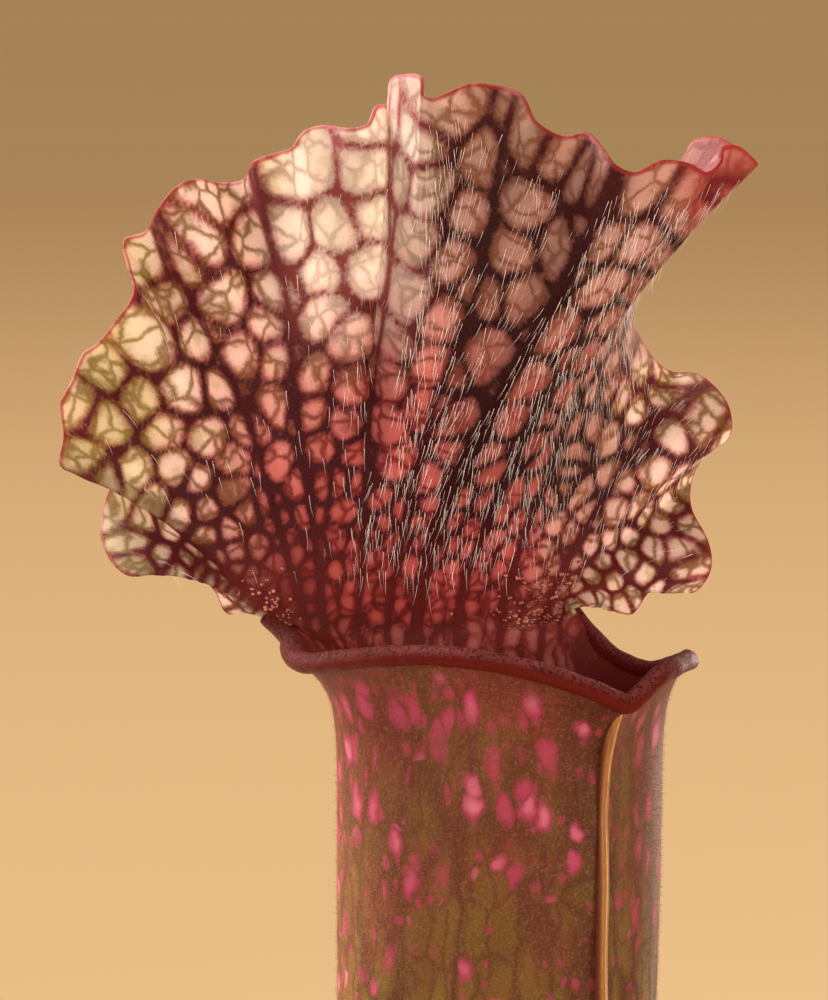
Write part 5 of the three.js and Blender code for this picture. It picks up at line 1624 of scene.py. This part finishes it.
# Smooth noise on the ground from a few sine waves in seeded directions
def groundNoise(x, y, scale, seed, layers=5):
    random = np.random.default_rng(seed)
    total = np.zeros_like(x)
    for layer in range(layers):
        turn, shift, grow = random.uniform(0, 2 * np.pi, 2).tolist() + [random.uniform(0.7, 1.5)]
        wave = scale * grow * (x * math.cos(turn) + y * math.sin(turn)) + shift
        total += np.sin(wave + 1.7 * np.sin(0.7 * scale * (y * math.cos(turn) - x * math.sin(turn))))
    return total / layers


def groundHeight(x, y, settings):
    out = np.hypot(x, y)
    wave = np.sin(0.31 * x + 1.3) * np.cos(0.27 * y) + 0.6 * np.sin(0.55 * x - 0.43 * y)
    crumbs = sum(high * groundNoise(x, y, fine, seed) for high, fine, seed in settings["crumbLayers"])
    return settings["top"] + 1.4 * (1 - (out / 58) ** 2) + 0.7 * wave + crumbs * smoothStep(out, 57.3, 54.0)


def makePeatMaterial(settings):
    material, tree = newMaterial("peat")
    place = tree.place()
    grain = tree.noise(place, 900.0, 6.0, 0.7)
    fibre = tree.noise(tree.stretch(place, (1.0, 0.25, 1.0)), 1500.0, 3.0)
    cloud = tree.noise(place, 90.0, 3.0)
    colour = tree.mix(tree.step(cloud, 0.35, 0.65), settings["peatDark"], settings["peat"])
    colour = tree.mix(tree.step(grain, 0.5, 0.72), colour, settings["peatLight"])
    colour = tree.mix(tree.times(tree.step(fibre, 0.6, 0.75), 0.5), colour, settings["fibre"])
    wet = tree.timesPlus(cloud, 0.35, 0.55)
    finishSurface(tree, {
        "Base Color": colour, "Roughness": wet, "Normal": tree.bump(grain, 0.0005, 0.9),
    })
    return material


peatMaterial = makePeatMaterial(groundSettings)


def buildSoil(settings, pot):
    bottom = pot["wall"] + 0.4 + 0.3
    outer = innerPotRadius(settings["top"], pot) - 0.35
    rings, segments = settings["rings"], settings["segments"]
    angles = 2 * np.pi * np.arange(segments) / segments
    radii = outer * np.sqrt(np.linspace(0.0, 1.0, rings + 1)[1:])[:, None]
    x, y = radii * np.cos(angles), radii * np.sin(angles)
    topPoints = np.stack([x, y, groundHeight(x, y, settings)], -1)
    topPoints[-1, :, 2] = settings["top"] - 1.0
    lowRadius = innerPotRadius(bottom, pot) - 0.5
    low = np.stack([lowRadius * np.cos(angles), lowRadius * np.sin(angles), bottom + 0 * angles], -1)
    points = np.vstack([low, topPoints[::-1].reshape(-1, 3)])
    centre = groundHeight(np.zeros(1), np.zeros(1), settings)[0]
    points = np.vstack([points, [0, 0, bottom], [0, 0, centre]])
    soil = meshPiece("soil_body", points, bodyFaces(rings + 1, segments), peatMaterial)
    standFor(soil, "peat", "soil")


buildSoil(groundSettings, potSettings)


def makeRhizomeMaterial(settings):
    material, tree = newMaterial("rhizome_bark")
    place = tree.place()
    rings = tree.noise(tree.stretch(place, (1.0, 0.3, 0.3)), 420.0, 4.0, 0.6)
    cloud = tree.noise(place, 70.0, 3.0)
    colour = tree.mix(tree.step(cloud, 0.35, 0.7), settings["barkDark"], settings["bark"])
    colour = tree.mix(tree.step(rings, 0.52, 0.7), colour, settings["barkScar"])
    green = tree.times(tree.step(tree.noise(place, 120.0, 2.0), 0.58, 0.72), 0.5)
    colour = tree.mix(green, colour, settings["barkGreen"])
    relief = tree.math("ADD", rings, tree.times(tree.noise(place, 1400.0, 4.0), 0.5))
    finishSurface(tree, {
        "Base Color": colour, "Roughness": 0.72, "Normal": tree.bump(relief, 0.0006, 0.8),
    })
    return material


rhizomeMaterial = makeRhizomeMaterial(groundSettings)


def buildRhizome(settings):
    columns, rows = settings["rhizomeColumns"], settings["rhizomeRows"]
    turn = 2 * np.pi * np.arange(columns) / columns
    tilt = np.pi * np.arange(1, rows) / rows
    # the poles lie at its two ends, along x
    x = -np.cos(tilt)[:, None] + 0 * turn
    y = np.sin(tilt)[:, None] * np.cos(turn)
    z = np.sin(tilt)[:, None] * np.sin(turn)
    lump = 1 + 0.05 * np.sin(9 * x + 2 * z) * np.cos(5 * y) + 0.03 * np.sin(7 * y + 4 * z + 1)
    scars = 0.4 * np.abs(np.sin(13 * x + 1.2 * y + 0.5 * np.sin(5 * z))) ** 0.5
    rough = scars + 0.25 * np.sin(31 * x + 9 * y) * np.cos(23 * z + 7 * y) - 0.4
    direction = np.stack([x, y, z], -1)
    radii = np.array(settings["rhizomeRadii"]) * lump[..., None] + rough[..., None]
    middle, reach = np.array(settings["rhizomeMiddle"]), 1.02 * settings["rhizomeRadii"][0]
    points = (middle + direction * radii).reshape(-1, 3)
    points = np.vstack([points, middle - [reach, 0, 0], middle + [reach, 0, 0]])
    rhizome = meshPiece("rhizome_body", points, bodyFaces(rows - 1, columns, turned=True), rhizomeMaterial)
    standFor(rhizome, "rhizome", "rhizome")


buildRhizome(groundSettings)

# What lies on the peat: sizes in metres, pieces for each square metre, and dark, light, roughness
litterSettings = {
    "crumbs": {"density": 2.3e5, "size": 0.0017, "seed": 4},
    "fibres": {"density": 3.2e4, "size": 0.0085, "seed": 6},
    "perlite": {"density": 1.1e4, "size": 0.0021, "seed": 7},
    "moss": {"density": 3.2e6, "size": 0.0024, "seed": 9},
    "fibreLook": ((70, 44, 26), (148, 108, 70), 0.8),
    "perliteLook": ((196, 190, 176), (236, 232, 222), 0.9),
    "mossLook": ((58, 82, 26), (120, 140, 50), 0.7),
    "rings": 46, "segments": 150, "patchSeed": 41,
}


def makeLitterMaterial(name, dark, light, roughness):
    material, tree = newMaterial(name)
    place = tree.place()
    colour = tree.mix(tree.step(tree.noise(place, 420.0, 3.0), 0.35, 0.68), dark, light)
    grain = tree.noise(place, 2600.0, 4.0, 0.7)
    colour = tree.mix(tree.times(tree.step(grain, 0.5, 0.3), 0.4), colour, dark)
    finishSurface(tree, {
        "Base Color": colour, "Roughness": roughness, "Normal": tree.bump(grain, 0.0003, 0.8),
    })
    return material


def crumbShape(tree):
    noise = tree.put("ShaderNodeTexNoise", {"Scale": 2.6}).outputs["Color"]
    centred = tree.vectorMath("SUBTRACT", noise, (0.5, 0.5, 0.5))
    return moved(tree, ball(tree, 6, 4), tree.vectorMath("SCALE", centred, 0.9))


def fibreShape(tree):
    strand = spike(tree, 4, 6, 0.01, 0.022, 1.0, fill="NGON")
    swing = tree.times(tree.math("SINE", tree.times(heightOf(tree), 4.2)), 0.13)
    bent = moved(tree, strand, tree.joined(X=swing))
    return tree.put("GeometryNodeTransform", {
        "Geometry": bent, "Translation": (0.0, 0.5, 0.03), "Rotation": (math.pi / 2, 0.0, 0.0),
    }).outputs[0]


def mossShape(tree):
    return spike(tree, 3, 2, 0.01, 0.14, 1.0)


def buildLitter(settings, ground, pot):
    outer = innerPotRadius(ground["top"], pot) - 2.2
    rings, segments = settings["rings"], settings["segments"]
    angles = 2 * np.pi * np.arange(segments) / segments
    radii = outer * np.sqrt(np.linspace(0.002, 1.0, rings))[:, None]
    x, y = (radii * np.cos(angles)).ravel(), (radii * np.sin(angles)).ravel()
    points = np.stack([x, y, groundHeight(x, y, ground)], -1)
    faces = ringFaces(rings, segments, turned=True)
    middle, size = np.array(ground["rhizomeMiddle"]), np.array(ground["rhizomeRadii"])
    toStem = np.hypot((x - middle[0]) / size[0], (y - middle[1]) / size[1])
    bare = smoothStep(toStem, 0.9, 1.0)
    patches = smoothStep(groundNoise(x, y, 0.13, settings["patchSeed"]), 0.12, 0.5)
    patches = patches + smoothStep(toStem, 1.35, 1.05)
    fibre = makeLitterMaterial("root_fibre", *settings["fibreLook"])
    perlite = makeLitterMaterial("perlite", *settings["perliteLook"])
    moss = makeLitterMaterial("moss", *settings["mossLook"])
    kinds = {
        "crumbs": (crumbShape, 1.2, 0.8, peatMaterial, bare),
        "fibres": (fibreShape, 0.16, 1.0, fibre, bare),
        "perlite": (crumbShape, 1.0, 1.0, perlite, bare),
        "moss": (mossShape, 0.6, 1.0, moss, np.clip(patches, 0.0, 1.0) * bare),
    }
    for kind, (shape, tilt, flatness, material, cover) in kinds.items():
        bed = meshPiece("bed", points, faces, material, {"cover": cover})
        tree = makeScatterTree(kind, shape, tilt, flatness, material)
        piece = bakeGeometryNodes(f"soil_{kind}", bed, tree, settings[kind], material)
        bpy.data.objects.remove(bed)
        standFor(piece, "peat")


buildLitter(litterSettings, groundSettings, potSettings)

sheathSettings = {
    "columns": 12, "rows": 20, "thickness": 0.3, "base": 95.5, "height": (12.0, 19.0), "width": (6.5, 9.5),
    "perLeaf": 3, "seed": 17, "dark": (104, 62, 34), "light": (172, 122, 76), "blotch": (88, 40, 28),
}


def makeSheathMaterial(settings):
    material, tree = newMaterial("dry_sheath")
    place = tree.place()
    streak = tree.noise(tree.stretch(place, (1.0, 1.0, 0.12)), 1800.0, 4.0, 0.6)
    colour = tree.mix(tree.step(streak, 0.36, 0.64), settings["dark"], settings["light"])
    colour = tree.mix(tree.step(tree.noise(place, 160.0, 2.0), 0.56, 0.7), colour, settings["blotch"])
    finishSurface(tree, {
        "Base Color": colour, "Roughness": 0.7, "Normal": tree.bump(streak, 0.0003, 0.8),
    })
    return material


# Dry scales that wrap the foot of each leaf on the stem
def buildSheaths(settings, feet):
    random = np.random.default_rng(settings["seed"])
    rows, columns = settings["rows"], settings["columns"]
    v = np.linspace(0.0, 1.0, rows)[:, None]
    u = np.linspace(-1.0, 1.0, columns)[None, :]
    points, faces = [], []
    for x, y, radius in feet:
        for leaf in range(settings["perLeaf"]):
            height, width = random.uniform(*settings["height"]), random.uniform(*settings["width"])
            start = 2 * np.pi * (leaf + random.uniform(0.0, 0.6)) / settings["perLeaf"]
            inner = radius + 0.5 + 0.5 * leaf
            half = 0.5 * width * (0.05 + 0.95 * (1 - v) ** 0.7) * (1 + 0.06 * np.sin(9 * v + leaf))
            for side in (0.0, settings["thickness"]):
                out = inner + side + random.uniform(1.8, 2.2) * v**2.2 + 0.25 * np.abs(u) * v
                angle = start + u * half / (inner + 1.0) + 0.2 * v**2
                z = settings["base"] + height * v - 1.2 * v**3 + 0.0 * u
                grid = np.stack([x + out * np.cos(angle), y + out * np.sin(angle), z], -1)
                points.append(grid.reshape(-1, 3))
            first = sum(len(part) for part in points[:-2])
            count = rows * columns
            near = np.arange(count).reshape(rows, columns) + first
            quads = np.stack([near[:-1, :-1], near[:-1, 1:], near[1:, 1:], near[1:, :-1]], -1).reshape(-1, 4)
            border = np.concatenate([near[0, :-1], near[:-1, -1], near[-1, :0:-1], near[:0:-1, 0]])
            following = np.roll(border, -1)
            faces += quads[:, ::-1].tolist() + (quads + count).tolist()
            faces += np.stack([border, following, following + count, border + count], -1).tolist()
    sheaths = meshPiece("leaf_sheaths", np.vstack(points), faces, makeSheathMaterial(settings))
    shape = bmesh.new()
    shape.from_mesh(sheaths.data)
    bmesh.ops.recalc_face_normals(shape, faces=shape.faces)
    shape.to_mesh(sheaths.data)
    shape.free()
    standFor(sheaths, "rhizome")


feet = [(*spec["foot"][:2], leafShape["footRadius"] * spec["size"]) for spec in openPitchers]
feet += [(*spec["foot"][:2], 2.3 * spec["size"]) for spec in youngSettings["leaves"].values()]
buildSheaths(sheathSettings, feet)
print("ground ready")
